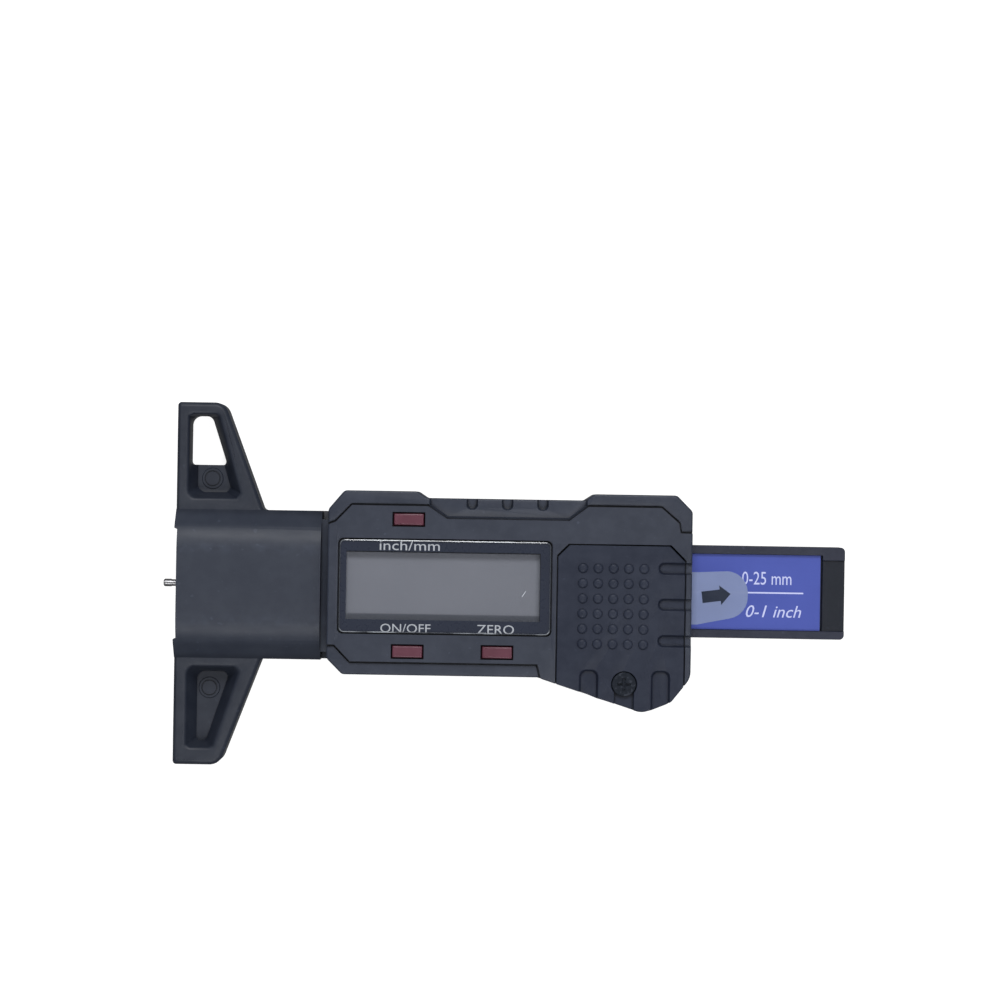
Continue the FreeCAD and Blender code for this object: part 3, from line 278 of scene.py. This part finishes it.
def on_round_corner(spot):
    """Tell whether a vertex lies at a pocket corner that the mould has rounded."""
    return abs(spot.co.y) < 16.5 * MM and (spot.co.y < 0 or spot.co.x < 5.0 * MM)


def between_ends(shape, test, rise=0.0):
    """The edges whose two ends both pass a test and differ in height by at least a rise, in mm."""
    return [edge for edge in shape.edges if all(test(end) for end in edge.verts)
            and abs(edge.verts[0].co.z - edge.verts[1].co.z) >= rise * MM]


def soften(shape, edges, width):
    """Round the edges by a width in mm."""
    bmesh.ops.bevel(shape, geom=edges, offset=width * MM, segments=3, profile=0.5,
                    affect="EDGES", material=-1, clamp_overlap=False)


# The pockets' mouths are drawn in, and cut across their corners at the measuring face.
MOUTH_FACE_HIGH = 1.85
MOUTH_FACE_LOW = 2.05
MOUTH_TIP_SHIFT = Vector((0.32 * MM, -0.85 * MM, 0))
MOUTH_ENDS = (28.15, 14.20, -13.75, -27.30)
MOUTH_CORNER = 0.75
WALL_RISE = 2.0
shape = bmesh.new()
shape.from_mesh(frame_moulding.data)
for spot in shape.verts:
    if at_pocket_mouth(spot):
        if spot.co.y > 28.5 * MM:
            spot.co += MOUTH_TIP_SHIFT
        if spot.co.x < 3.0 * MM:
            spot.co.x = (MOUTH_FACE_HIGH if spot.co.y > 0 else MOUTH_FACE_LOW) * MM
            if any(abs(spot.co.y / MM - end) < TOUCH for end in MOUTH_ENDS):
                spot.co.x += MOUTH_CORNER * MM
bmesh.ops.remove_doubles(shape, verts=[spot for spot in shape.verts if on_ear_outline(spot)], dist=0.1 * MM)
pocket_corners = [edge for edge in between_ends(shape, on_round_corner, WALL_RISE)
                  if any(at_pocket_mouth(end) for end in edge.verts)]
soften(shape, pocket_corners, 0.36)
soften(shape, between_ends(shape, on_relief, WALL_RISE), 0.24)
soften(shape, between_ends(shape, at_pocket_mouth), 0.45)
soften(shape, between_ends(shape, on_ear_outline), 0.28)
shape.to_mesh(frame_moulding.data)
shape.free()
break_edges(frame_moulding, 0.12)

# ---------------------------------------------------------------------------
# Ejector marks: the prints of the mould's pins in the floor of each ear, a flat
# disc inside a shallow ring, in the same plastic as the frame.
# ---------------------------------------------------------------------------
EAR_FLOOR = 2.0
MARK_STEPS = ((0, 0.16), (1.14, 0.16), (1.19, 0.02), (1.30, 0.02), (1.35, 0.16), (1.68, 0.16), (1.80, 0))
MARK_CENTRES = {"upper": (5.6, 17.5), "lower": (5.6, -17.5)}
for side, centre in MARK_CENTRES.items():
    turned(f"ejector_mark_{side}", [(radius, EAR_FLOOR + rise) for radius, rise in MARK_STEPS],
           centre, 40, frame_plastic, "frame")

# ---------------------------------------------------------------------------
# Slider bar: charcoal moulding with a raised rail along each side and a
# stepped block at its end.  It runs through the neck and the head.
# ---------------------------------------------------------------------------
slider_plastic = moulded_plastic("slider_plastic", (0.017, 0.020, 0.034, 1),
                                 (0.025, 0.028, 0.045, 1), coarse=0.42, gloss=0.2, alone=True)
# A darker copy of the slider's plastic for the end block's recess floor: painted shade in the recess.
recess_shade_plastic = moulded_plastic("slider_recess_shade_plastic", (0.005, 0.0073, 0.013, 1),
                                 (0.008, 0.0105, 0.018, 1), coarse=0.36, gloss=0.2, alone=True)
slider_bar = merged_copy("slider", "slider_bar", slider_plastic, "slider")
slider_bar.data.materials.append(recess_shade_plastic)
END_STEP_START = 107.4
END_STEP_LEVEL = 5.8
for face in slider_bar.data.polygons:
    if face.center.x > END_STEP_START * MM and abs(face.center.z - END_STEP_LEVEL * MM) < TOUCH * MM:
        face.material_index = 1
break_edges(slider_bar, 0.12)

# ---------------------------------------------------------------------------
# Scale board and its printed film.  The board is green laminate set between
# the rails; the film on top is satin blue, printed with two lines and a rule.
# ---------------------------------------------------------------------------


def dress_node(node, finish):
    """Give a CAD node that stays a finish."""
    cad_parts[node].data.materials[0] = finish


def laminate(name, dark, light):
    """Varnished circuit board: glass weave under a glossy coat."""
    made, shader, place = finish_of(name, {"Coat Weight": 0.3, "IOR": 1.5})
    weave = grains(stretched(place, (3.0, 1.0, 1.0)), 900.0, 3.0)
    feed(shader, Base_Color=between(weave, dark, light),
         Roughness=0.34 + grains(place, 2600.0) * 0.12,
         Normal=relief(weave, 0.02 * MM, 0.2))
    return made


board_green = laminate("board_green", (0.010, 0.075, 0.035, 1), (0.018, 0.120, 0.055, 1))
dress_node("scale_board", board_green)

label_blue, shader, place = finish_of("label_blue", {"IOR": 1.5, "Specular IOR Level": 0.28})
feed(shader,
     Base_Color=between(grains(place, 180.0, 2.0), (0.039, 0.061, 0.292, 1), (0.052, 0.078, 0.352, 1)),
     Roughness=0.42 + grains(place, 1800.0) * 0.10,
     Normal=relief(grains(place, 3000.0), 0.02 * MM, 0.08))
dress_node("slider_label", label_blue)

print_pale, shader, place = finish_of("print_pale", {"IOR": 1.5})
feed(shader,
     Base_Color=between(grains(place, 2400.0), (0.40, 0.43, 0.68, 1), (0.50, 0.53, 0.78, 1)),
     Roughness=0.45 + grains(place, 3000.0) * 0.1,
     Normal=relief(grains(place, 6000.0), 0.01 * MM, 0.1))

INK_HALF = 0.01


def lettering(name, words, centre, size, level, body, ink, slant=0.0):
    """Print words as a thin solid, stretched to their width and height.  All lengths in mm."""
    curve = bpy.data.curves.new(name, "FONT")
    curve.body = words
    curve.shear = slant
    curve.extrude = INK_HALF
    curve.resolution_u = 3
    unplaced = bpy.data.objects.new(name + "_unplaced", curve)
    bpy.context.scene.collection.objects.link(unplaced)
    bpy.context.view_layer.update()
    mesh = bpy.data.meshes.new_from_object(unplaced)
    bpy.data.objects.remove(unplaced)
    across = [spot.co.x for spot in mesh.vertices]
    up = [spot.co.y for spot in mesh.vertices]
    shape = bmesh.new()
    shape.from_mesh(mesh)
    bmesh.ops.translate(shape, verts=shape.verts, vec=(
        -(min(across) + max(across)) / 2, -(min(up) + max(up)) / 2, 0))
    bmesh.ops.scale(shape, verts=shape.verts, vec=(
        size[0] * MM / (max(across) - min(across)), size[1] * MM / (max(up) - min(up)), MM))
    bmesh.ops.translate(shape, verts=shape.verts, vec=(
        centre[0] * MM, centre[1] * MM, (level + INK_HALF) * MM))
    bmesh.ops.remove_doubles(shape, verts=shape.verts, dist=0.0005 * MM)
    shape.to_mesh(mesh)
    shape.free()
    return shown(name, mesh, ink, body)


LABEL_TOP = 5.57
RANGE_WORDS = {"mm": ("0-25 mm", (98.3, 2.35), (8.2, 2.15), 0.0),
               "inch": ("0-1 inch", (99.5, -3.15), (9.2, 2.0), 0.28)}
for unit, (words, centre, size, slant) in RANGE_WORDS.items():
    lettering(f"scale_range_{unit}", words, centre, size, LABEL_TOP,
              "slider", print_pale, slant)


def slab(name, low, high, finish, body, bevel=0.0):
    """A thin slab between two corners, in mm, its edges broken by a bevel."""
    mesh = bpy.data.meshes.new(name)
    shape = bmesh.new()
    bmesh.ops.create_cube(shape, size=1.0)
    bmesh.ops.scale(shape, verts=shape.verts,
                    vec=[(high[axis] - low[axis]) * MM for axis in range(3)])
    bmesh.ops.translate(shape, verts=shape.verts,
                        vec=[(high[axis] + low[axis]) / 2 * MM for axis in range(3)])
    if bevel:
        bmesh.ops.bevel(shape, geom=shape.edges[:], offset=bevel * MM, segments=2, profile=0.5,
                        affect="EDGES", material=-1, clamp_overlap=True)
    shape.to_mesh(mesh)
    shape.free()
    return shown(name, mesh, finish, body)


slab("label_rule", (86.0, -0.20, LABEL_TOP), (104.4, 0.05, LABEL_TOP + 0.02),
     print_pale, "slider")

# ---------------------------------------------------------------------------
# Probe and stop pin: ground steel rod.  The probe is pressed in the slider's
# front end, and its tip is a little thicker than its neck.
# ---------------------------------------------------------------------------


def metal(name, dark, light, grain, dull=0.22):
    """Bare metal, brushed or turned along the short side of its grain."""
    made, shader, place = finish_of(name, {"Metallic": 1.0})
    marks = grains(stretched(place, grain), 1.0)
    smears = grains(place, 240.0, 3.0)
    feed(shader, Base_Color=between(marks * 0.6 + smears * 0.4, dark, light),
         Roughness=dull + marks * 0.12 + smears * 0.10,
         Normal=relief(marks, 0.01 * MM, 0.15))
    return made


ground_steel = metal("ground_steel", (0.17, 0.17, 0.18, 1), (0.30, 0.30, 0.31, 1),
                     (9000.0, 300.0, 300.0))
dress_node("probe_pin", ground_steel)
dress_node("stop_pin", ground_steel)

# ---------------------------------------------------------------------------
# Circuit board: green laminate with tinned tracks, two chip capacitors and a
# black drop of resin over the bare chip.  It lies on the tray's raised middle.
# ---------------------------------------------------------------------------
dress_node("circuit_board", laminate("board_mask", (0.008, 0.060, 0.030, 1), (0.014, 0.095, 0.045, 1)))
BOARD_TOP = 7.6
tinned = metal("tinned_copper", (0.42, 0.43, 0.43, 1), (0.60, 0.61, 0.60, 1),
               (700.0, 2400.0, 700.0), dull=0.30)
TRACK_START = 31.2
TRACK_PITCH = 2.3
TRACK_WIDTH = 0.4
for number in range(12):
    track_x = TRACK_START + TRACK_PITCH * number
    slab(f"board_track_{number}", (track_x, 5.6, BOARD_TOP), (track_x + TRACK_WIDTH, 6.3, BOARD_TOP + 0.03),
         tinned, "frame")
ceramic = moulded_plastic("capacitor_ceramic", (0.20, 0.13, 0.08, 1), (0.30, 0.20, 0.13, 1), coarse=0.5)
for number, low_y in ((1, -3.2), (2, 2.0)):
    slab(f"chip_capacitor_{number}", (38.0, low_y, BOARD_TOP), (39.6, low_y + 0.9, BOARD_TOP + 0.8),
         ceramic, "frame", bevel=0.1)
resin_black, shader, place = finish_of("resin_black", {"IOR": 1.55, "Coat Weight": 0.2})
feed(shader,
     Base_Color=between(grains(place, 700.0, 3.0), (0.010, 0.010, 0.011, 1), (0.018, 0.018, 0.019, 1)),
     Roughness=0.24 + grains(place, 900.0) * 0.12,
     Normal=relief(grains(place, 500.0), 0.05 * MM, 0.2))
dress_node("chip_cap", resin_black)

# ---------------------------------------------------------------------------
# Push switches under the keys: black bodies soldered to the board, and the
# pale plungers that the keys press.
# ---------------------------------------------------------------------------
dress_node("tact_switches", moulded_plastic(
    "switch_black", (0.015, 0.015, 0.017, 1), (0.028, 0.028, 0.030, 1), coarse=0.38))
plunger_pale = moulded_plastic("plunger_pale", (0.50, 0.48, 0.42, 1), (0.62, 0.60, 0.54, 1), coarse=0.42)
for key in ("units", "power", "zero"):
    dress_node(f"plunger_{key}", plunger_pale)

# ---------------------------------------------------------------------------
# Display: a glass sandwich in grey polariser on two strips of striped rubber that carry
# its signals up from the board.  Its colour is darker along the bottom and a little along
# the top; a painted shadow darkens its right side and a painted highlight runs down its left.
# ---------------------------------------------------------------------------
zebra, shader, place = finish_of("zebra_rubber", {"IOR": 1.45, "Specular IOR Level": 0.3})
layers = place.node("ShaderNodeTexWave", {"wave_type": "BANDS", "bands_direction": "X"},
                    {"Vector": place, "Scale": 320.0, "Distortion": 0.4, "Detail": 1.0}, output=1)
feed(shader, Base_Color=between(layers, (0.030, 0.028, 0.028, 1), (0.42, 0.30, 0.30, 1)),
     Roughness=0.60 + grains(place, 1500.0) * 0.15,
     Normal=relief(layers, 0.02 * MM, 0.2))
dress_node("zebra_strips", zebra)

display_grey, shader, place = finish_of("display_grey", {"IOR": 1.5})
field = place.axis(1).ramp(-4.45 * MM, -4.15 * MM) * (1.0 - place.axis(1).ramp(4.5 * MM, 5.0 * MM) * 0.25)
# Painted shadow: the field darkens towards its right side.
field = field * (1.0 - place.axis(0).ramp(59.6 * MM, 60.5 * MM) * 0.45)
# Painted highlight: a thin bright line down the field's left side.
left_highlight = place.axis(0).ramp(28.75 * MM, 28.85 * MM) - place.axis(0).ramp(28.95 * MM, 29.1 * MM)
cloud = grains(place, 70.0, 2.0)
feed(shader,
     Base_Color=between(field + left_highlight * 0.5, (0.140, 0.152, 0.190, 1), between(
         cloud, (0.268, 0.285, 0.340, 1), (0.330, 0.345, 0.404, 1))),
     Roughness=0.30 + grains(place, 900.0) * 0.08,
     Normal=relief(grains(place, 2600.0), 0.01 * MM, 0.06))
dress_node("lcd_panel", display_grey)

# ---------------------------------------------------------------------------
# Battery contacts: bright plated spring strip.  The flat one is under the cell
# and the upright one touches its side.
# ---------------------------------------------------------------------------
plated = metal("plated_spring", (0.50, 0.49, 0.45, 1), (0.70, 0.68, 0.62, 1), (400.0, 2600.0, 400.0))
dress_node("contact_negative", plated)
dress_node("contact_positive", plated)

# ---------------------------------------------------------------------------
# Upper case of the head: the same charcoal plastic, with stepped corners, the
# notched grip strip, the hollow for the window and the well for the cell.
# ---------------------------------------------------------------------------
head_plastic = moulded_plastic("head_plastic", (0.018, 0.023, 0.038, 1), (0.028, 0.034, 0.052, 1),
                               coarse=0.44, nook_shade=(0.42, 0.93))
head_case = merged_copy("head_housing", "head_case", head_plastic, "frame")

WALL_LEAN = 0.26


def lean_slots(piece, floor, drop, side, middles, half, end, way):
    """Deepen slots and lean their walls: floor is their level, side the axis across them, middles
    and half their centre lines and half width, end where they stop and way where they open."""
    for spot in piece.data.vertices:
        across = spot.co[side] / MM
        middle = min(middles, key=lambda line: abs(across - line))
        if abs(spot.co.z / MM - floor) < 0.02 and abs(across - middle) < half + 0.05:
            spot.co[side] = (middle + (across - middle) * (1 - WALL_LEAN / half)) * MM
            spot.co.z -= drop * MM
            if abs(spot.co[1 - side] / MM - end) < half:
                spot.co[1 - side] += way * WALL_LEAN * MM
    piece.data.update()


def on_head_outline(spot):
    """Tell whether a vertex lies on the outer edges of the head's top."""
    along, side, height = (length / MM for length in spot.co)
    return height > 11.3 and (not 26.1 < along < 84.9 or not -13.9 < side < 14.7)


GRIP_NOTCHES = (49.2, 55.0, 60.8)
FINGER_SLOTS = (3.85, -2.05, -8.0)
lean_slots(head_case, floor=11.4, drop=0.55, side=0, middles=GRIP_NOTCHES, half=0.95, end=12.95, way=1)
lean_slots(head_case, floor=13.55, drop=0.30, side=1, middles=FINGER_SLOTS, half=1.0, end=0.0, way=1)
shape = bmesh.new()
shape.from_mesh(head_case.data)
top_edges = [edge for edge in between_ends(shape, on_head_outline)
             if edge.is_convex and max(face.normal.z for face in edge.link_faces) > 0.9]
soften(shape, top_edges, 0.28)
shape.to_mesh(head_case.data)
shape.free()
break_edges(head_case, 0.06)

# ---------------------------------------------------------------------------
# Display window: a clear acrylic pane glued in the hollow.  Under the clear film
# on its face it is printed black around the display, with the key legends, and
# its bevelled edge is painted with a thin bright highlight along top and bottom.
# ---------------------------------------------------------------------------


def rounded_outline(shape, low, high, radius, level):
    """Lay a flat face with rounded corners in a shape, and give back its edges.  In mm."""
    known = set(shape.edges)
    corners = [shape.verts.new((x * MM, y * MM, level * MM)) for x, y in (
        low, (high[0], low[1]), high, (low[0], high[1]))]
    shape.faces.new(corners)
    bmesh.ops.bevel(shape, geom=corners, offset=radius * MM, segments=6, profile=0.5,
                    affect="VERTICES", material=-1)
    return [edge for edge in shape.edges if edge not in known]


WINDOW_LOW = (27.62, -7.38)
WINDOW_HIGH = (62.28, 7.88)
WINDOW_BACK = 12.8
WINDOW_FACE = 13.8
PRINT_LEVEL = 13.5
PRINT_INSET = 0.06
PANE_ROUND = 0.9
OPENING_LOW = (28.78, -5.23)
OPENING_HIGH = (60.55, 5.97)

clear_acrylic, shader, place = finish_of("clear_acrylic", {"IOR": 1.49, "Alpha": 0.2})
feed(shader,
     Base_Color=between(grains(place, 90.0), (0.020, 0.023, 0.028, 1), (0.030, 0.034, 0.040, 1)),
     Roughness=0.06 + grains(place, 700.0, 4.0) * 0.06,
     Normal=relief(grains(place, 1200.0), 0.01 * MM, 0.03))
edge_acrylic, shader, place = finish_of("edge_acrylic", {"IOR": 1.49, "Alpha": 0.85})
# Painted highlight: the bevel's colour turns pale in patches along the top and bottom edges.
gleam = grains(place, 130.0, 3.0, 0.7).ramp(0.42, 0.62)
along = place.axis(1).ramp(-6.4 * MM, -7.2 * MM) + place.axis(1).ramp(6.8 * MM, 7.6 * MM)
feed(shader,
     Base_Color=between(gleam * along, (0.050, 0.056, 0.070, 1), (0.36, 0.39, 0.43, 1)),
     Roughness=0.16 + grains(place, 800.0) * 0.10,
     Normal=relief(grains(place, 2000.0), 0.01 * MM, 0.1))

mesh = bpy.data.meshes.new("window_pane")
shape = bmesh.new()
rounded_outline(shape, WINDOW_LOW, WINDOW_HIGH, PANE_ROUND, WINDOW_BACK)
risen = bmesh.ops.extrude_face_region(shape, geom=shape.faces[:])
top_corners = [part for part in risen["geom"] if isinstance(part, bmesh.types.BMVert)]
bmesh.ops.translate(shape, verts=top_corners, vec=(0, 0, (WINDOW_FACE - WINDOW_BACK) * MM))
rim = [edge for edge in shape.edges if all(end in top_corners for end in edge.verts)]
ground = bmesh.ops.bevel(shape, geom=rim, offset=0.2 * MM, segments=2, profile=0.5,
                         affect="EDGES", material=-1)
for face in ground["faces"]:
    face.material_index = 1
bmesh.ops.recalc_face_normals(shape, faces=shape.faces)
shape.to_mesh(mesh)
shape.free()
window_pane = shown("window_pane", mesh, clear_acrylic, "frame")
window_pane.data.materials.append(edge_acrylic)
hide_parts("display_window")

window_ink, shader, place = finish_of("window_ink", {"IOR": 1.5, "Specular IOR Level": 0.3})
feed(shader,
     Base_Color=between(grains(place, 150.0), (0.017, 0.0215, 0.040, 1), (0.024, 0.031, 0.056, 1)),
     Roughness=0.25 + grains(place, 1500.0) * 0.06,
     Normal=relief(grains(place, 3000.0), 0.01 * MM, 0.05))
mesh = bpy.data.meshes.new("window_border")
shape = bmesh.new()
outer = rounded_outline(shape, [side + PRINT_INSET for side in WINDOW_LOW],
                        [side - PRINT_INSET for side in WINDOW_HIGH], 0.85, PRINT_LEVEL)
inner = rounded_outline(shape, OPENING_LOW, OPENING_HIGH, 0.12, PRINT_LEVEL)
bmesh.ops.delete(shape, geom=shape.faces[:], context="FACES_ONLY")
bmesh.ops.bridge_loops(shape, edges=outer + inner)
bmesh.ops.recalc_face_normals(shape, faces=shape.faces)
shape.to_mesh(mesh)
shape.free()
window_border = shown("window_border", mesh, window_ink, "frame")
thick_ink = window_border.modifiers.new("ink depth", "SOLIDIFY")
thick_ink.thickness = 0.02 * MM

legend_pale, shader, place = finish_of("legend_pale", {"IOR": 1.5})
feed(shader,
     Base_Color=between(grains(place, 1800.0), (0.46, 0.49, 0.55, 1), (0.58, 0.61, 0.66, 1)),
     Roughness=0.42 + grains(place, 3000.0) * 0.1,
     Normal=relief(grains(place, 6000.0), 0.01 * MM, 0.1))
LEGENDS = {"units": ("inch/mm", (39.1, 6.97), (9.85, 1.62)),
           "power": ("ON/OFF", (38.6, -6.60), (8.20, 1.45)),
           "zero": ("ZERO", (53.35, -6.57), (6.05, 1.50))}
for key, (words, centre, size) in LEGENDS.items():
    lettering(f"legend_{key}", words, centre, size, PRINT_LEVEL + 0.02,
              "frame", legend_pale)

# Painted glint: a short pale sliver on the pane's face stands for a glint of light.
GLINT_CENTRE = (57.89 * MM, -0.67 * MM, 0)
GLINT_TURN = math.radians(56.0)
glint_sliver = slab("pane_glint", (-0.55, -0.04, WINDOW_FACE), (0.55, 0.04, WINDOW_FACE + 0.01),
               legend_pale, "frame")
glint_sliver.data.transform(Matrix.Translation(GLINT_CENTRE) @ Matrix.Rotation(GLINT_TURN, 4, "Z"))

# ---------------------------------------------------------------------------
# Keys: three caps moulded in dark red plastic.  Each rests on its switch's
# plunger and stands a little proud of the hole in the case that guides it.
# ---------------------------------------------------------------------------
key_red = moulded_plastic("key_red", (0.076, 0.021, 0.034, 1), (0.101, 0.030, 0.048, 1), coarse=0.36)
for key in ("units", "power", "zero"):
    cap = merged_copy(f"button_{key}", f"key_{key}", key_red, f"{key}_button")
    break_edges(cap, 0.16)

# ---------------------------------------------------------------------------
# Coin cell: a nickel-plated can, turned bright, with its pole sign stamped in
# the lid.
# ---------------------------------------------------------------------------
cell_nickel = metal("cell_nickel", (0.52, 0.52, 0.53, 1), (0.70, 0.70, 0.71, 1), (500.0, 500.0, 2400.0),
                    dull=0.18)
dress_node("battery_cell", cell_nickel)
lettering("cell_pole_sign", "+", (73.8, -3.4), (3.0, 3.0), 11.74, "frame", cell_nickel)

# ---------------------------------------------------------------------------
# Battery cover: charcoal moulding with rows of low round bumps for the thumb
# and a keyhole slot for its screw.
# ---------------------------------------------------------------------------
cover_plastic = moulded_plastic("cover_plastic", (0.014, 0.018, 0.032, 1), (0.023, 0.028, 0.045, 1),
                                coarse=0.45, gloss=0.15, nook_shade=(0.50, 0.96))
cover_plate = merged_copy("battery_cover", "cover_plate", cover_plastic, "battery_cover")

COVER_TOP = 14.0
shape = bmesh.new()
shape.from_mesh(cover_plate.data)
for spot in shape.verts:
    spot.co.z = min(spot.co.z, COVER_TOP * MM)
weld(shape)
shape.to_mesh(cover_plate.data)
shape.free()
FOOT_SLOTS = (68.7, 80.45)
lean_slots(cover_plate, floor=13.55, drop=0.30, side=1, middles=FINGER_SLOTS, half=1.0, end=79.85, way=1)
lean_slots(cover_plate, floor=13.5, drop=0.25, side=0, middles=FOOT_SLOTS, half=1.55, end=-12.85, way=-1)
break_edges(cover_plate, 0.22)

BUMP_PROFILE = ((0, 0.29), (0.38, 0.28), (0.58, 0.24), (0.73, 0.15), (0.81, 0.05), (0.83, 0))
FIRST_BUMP = (67.5, -8.65)
BUMP_COLUMNS = 5
BUMP_ROWS = 6
BUMP_PITCH = (2.5, 2.48)
thumb_bumps = turned("thumb_bumps", [(radius, COVER_TOP + rise) for radius, rise in BUMP_PROFILE],
                     FIRST_BUMP, 18, cover_plastic, "battery_cover")
shape = bmesh.new()
shape.from_mesh(thumb_bumps.data)
first_bump = shape.verts[:] + shape.edges[:] + shape.faces[:]
for number in range(1, BUMP_COLUMNS * BUMP_ROWS):
    row, column = divmod(number, BUMP_COLUMNS)
    again = bmesh.ops.duplicate(shape, geom=first_bump)["geom"]
    bmesh.ops.translate(shape, verts=[part for part in again if isinstance(part, bmesh.types.BMVert)],
                        vec=(BUMP_PITCH[0] * column * MM, BUMP_PITCH[1] * row * MM, 0))
shape.to_mesh(thumb_bumps.data)
shape.free()

# ---------------------------------------------------------------------------
# Screws: a small black cross-head screw holds the cover, and four plain steel
# ones hold the head to the rear tray from the back.
# ---------------------------------------------------------------------------
screw_black, shader, place = finish_of("screw_black", {"Metallic": 0.2, "IOR": 1.5,
                                                       "Specular IOR Level": 0.12})
smear = grains(place, 900.0, 4.0)
# Painted glints: pale specks scattered over the black screw head.
glint_specks = grains(place, 1700.0, 2.0).ramp(0.56, 0.70) * 0.20
blacking = between(smear, (0.004, 0.006, 0.010, 1), (0.014, 0.018, 0.027, 1))
feed(shader, Base_Color=between(glint_specks, blacking, (0.10, 0.11, 0.14, 1)),
     Roughness=0.32 + smear * 0.25,
     Normal=relief(grains(place, 2400.0), 0.02 * MM, 0.25))
screw_head = merged_copy("cover_screw", "cover_screw_black", screw_black, "battery_cover")
break_edges(screw_head, 0.05)
dress_node("case_screws", metal("zinc_steel", (0.34, 0.34, 0.35, 1), (0.52, 0.52, 0.53, 1),
                                (900.0, 900.0, 300.0), dull=0.30))

# ---------------------------------------------------------------------------
# Pull tab: frosted film that keeps the cell apart from its contact until the
# first use.  A dark arrow on it shows which way to pull.
# ---------------------------------------------------------------------------
frosted, shader, place = finish_of("frosted_film", {"IOR": 1.4, "Alpha": 0.72})
haze = grains(place, 220.0, 3.0)
feed(shader, Base_Color=between(haze, (0.152, 0.190, 0.325, 1), (0.190, 0.234, 0.390, 1)),
     Roughness=0.50 + haze * 0.15, Normal=relief(grains(place, 1600.0), 0.02 * MM, 0.2))
tab_film = merged_copy("pull_tab", "tab_film", frosted, "pull_tab")
tab_film.visible_shadow = False
smooth_faces(tab_film)

arrow_ink = moulded_plastic("arrow_ink", (0.010, 0.016, 0.032, 1), (0.016, 0.022, 0.040, 1), coarse=0.5,
                            gloss=0.2)
ARROW_OUTLINE = ((0, -0.95), (3.15, -0.95), (3.15, -1.6), (4.95, 0), (3.15, 1.6), (3.15, 0.95), (0, 0.95))
ARROW_TURN = math.radians(7.0)
TAB_FALL = math.atan(0.225)
mesh = bpy.data.meshes.new("tab_arrow")
shape = bmesh.new()
arrow = [shape.verts.new((along * MM, across * MM, 0)) for along, across in ARROW_OUTLINE]
shape.faces.new(arrow)
bmesh.ops.rotate(shape, verts=arrow, matrix=Matrix.Rotation(ARROW_TURN, 3, "Z"))
bmesh.ops.rotate(shape, verts=arrow, matrix=Matrix.Rotation(TAB_FALL, 3, "Y"))
bmesh.ops.translate(shape, verts=arrow, vec=(87.4 * MM, -0.9 * MM, 8.36 * MM))
shape.to_mesh(mesh)
shape.free()
tab_arrow = shown("tab_arrow", mesh, arrow_ink, "pull_tab")
thick_print = tab_arrow.modifiers.new("print depth", "SOLIDIFY")
thick_print.thickness = 0.02 * MM

# ---------------------------------------------------------------------------
# Stage: a plain white sheet under the gauge, clear when seen from below, four
# broad soft lights round the camera and a pale room.
# ---------------------------------------------------------------------------
sheet_white, shader, place = finish_of("sheet_white", {
    "IOR": 1.3, "Specular IOR Level": 0.0, "Emission Color": (1.0, 1.0, 1.0, 1), "Emission Strength": 0.85})
feed(shader, Base_Color=between(grains(place, 4.0), (0.33, 0.33, 0.33, 1), (0.35, 0.35, 0.35, 1)),
     Roughness=0.9 + grains(place, 40.0) * 0.05)
BACKFACING = 6
one_sided = place.node("ShaderNodeMixShader", None, {
    0: place.node("ShaderNodeNewGeometry", output=BACKFACING), 1: Wire(place.tree, shader.outputs[0]),
    2: place.node("ShaderNodeBsdfTransparent")})
place.tree.links.new(one_sided.socket, place.tree.nodes["Material Output"].inputs["Surface"])
mesh = bpy.data.meshes.new("white_floor")
shape = bmesh.new()
bmesh.ops.create_grid(shape, x_segments=1, y_segments=1, size=3.0)
bmesh.ops.translate(shape, verts=shape.verts, vec=(0, 0, -0.5 * MM))
shape.to_mesh(mesh)
shape.free()
white_floor = bpy.data.objects.new("white_floor", mesh)
white_floor.data.materials.append(sheet_white)
bpy.context.scene.collection.objects.link(white_floor)
white_floor.visible_diffuse = False
white_floor.visible_glossy = False

GAUGE_MIDDLE = Vector((0.054, 0, 0))


def soft_light(name, spot, power):
    """Hang a square soft light that points at the gauge's middle.  In metres and watts."""
    lamp = bpy.data.lights.new(name, "AREA")
    lamp.shape = "SQUARE"
    lamp.size = 0.32
    lamp.energy = power
    holder = bpy.data.objects.new(name, lamp)
    bpy.context.scene.collection.objects.link(holder)
    holder.location = spot
    holder.rotation_euler = (GAUGE_MIDDLE - Vector(spot)).to_track_quat("-Z", "Y").to_euler()


soft_light("light_far", (0.054, 0.60, 0.75), 6.0)
soft_light("light_near", (0.054, -0.48, 0.83), 3.2)
soft_light("light_left", (-0.32, 0.02, 0.90), 0.4)
soft_light("light_right", (0.43, 0.02, 0.90), 1.5)

room = bpy.data.worlds.new("pale_room")
room.use_nodes = True
room.node_tree.nodes["Background"].inputs["Color"].default_value = (1.0, 1.0, 1.0, 1)
room.node_tree.nodes["Background"].inputs["Strength"].default_value = 0.28
bpy.context.scene.world = room
bpy.context.scene.view_settings.view_transform = "Standard"

view = bpy.data.cameras.new("upright_view")
view.sensor_width = 36.0
view.lens = 107.06
view.clip_start = 0.01
view_point = bpy.data.objects.new("upright_view", view)
bpy.context.scene.collection.objects.link(view_point)
view_point.location = (0.05374, 0.01465, 0.500)
view_point.rotation_euler = (0.0, 0.0, math.radians(0.93))
bpy.context.scene.camera = view_point
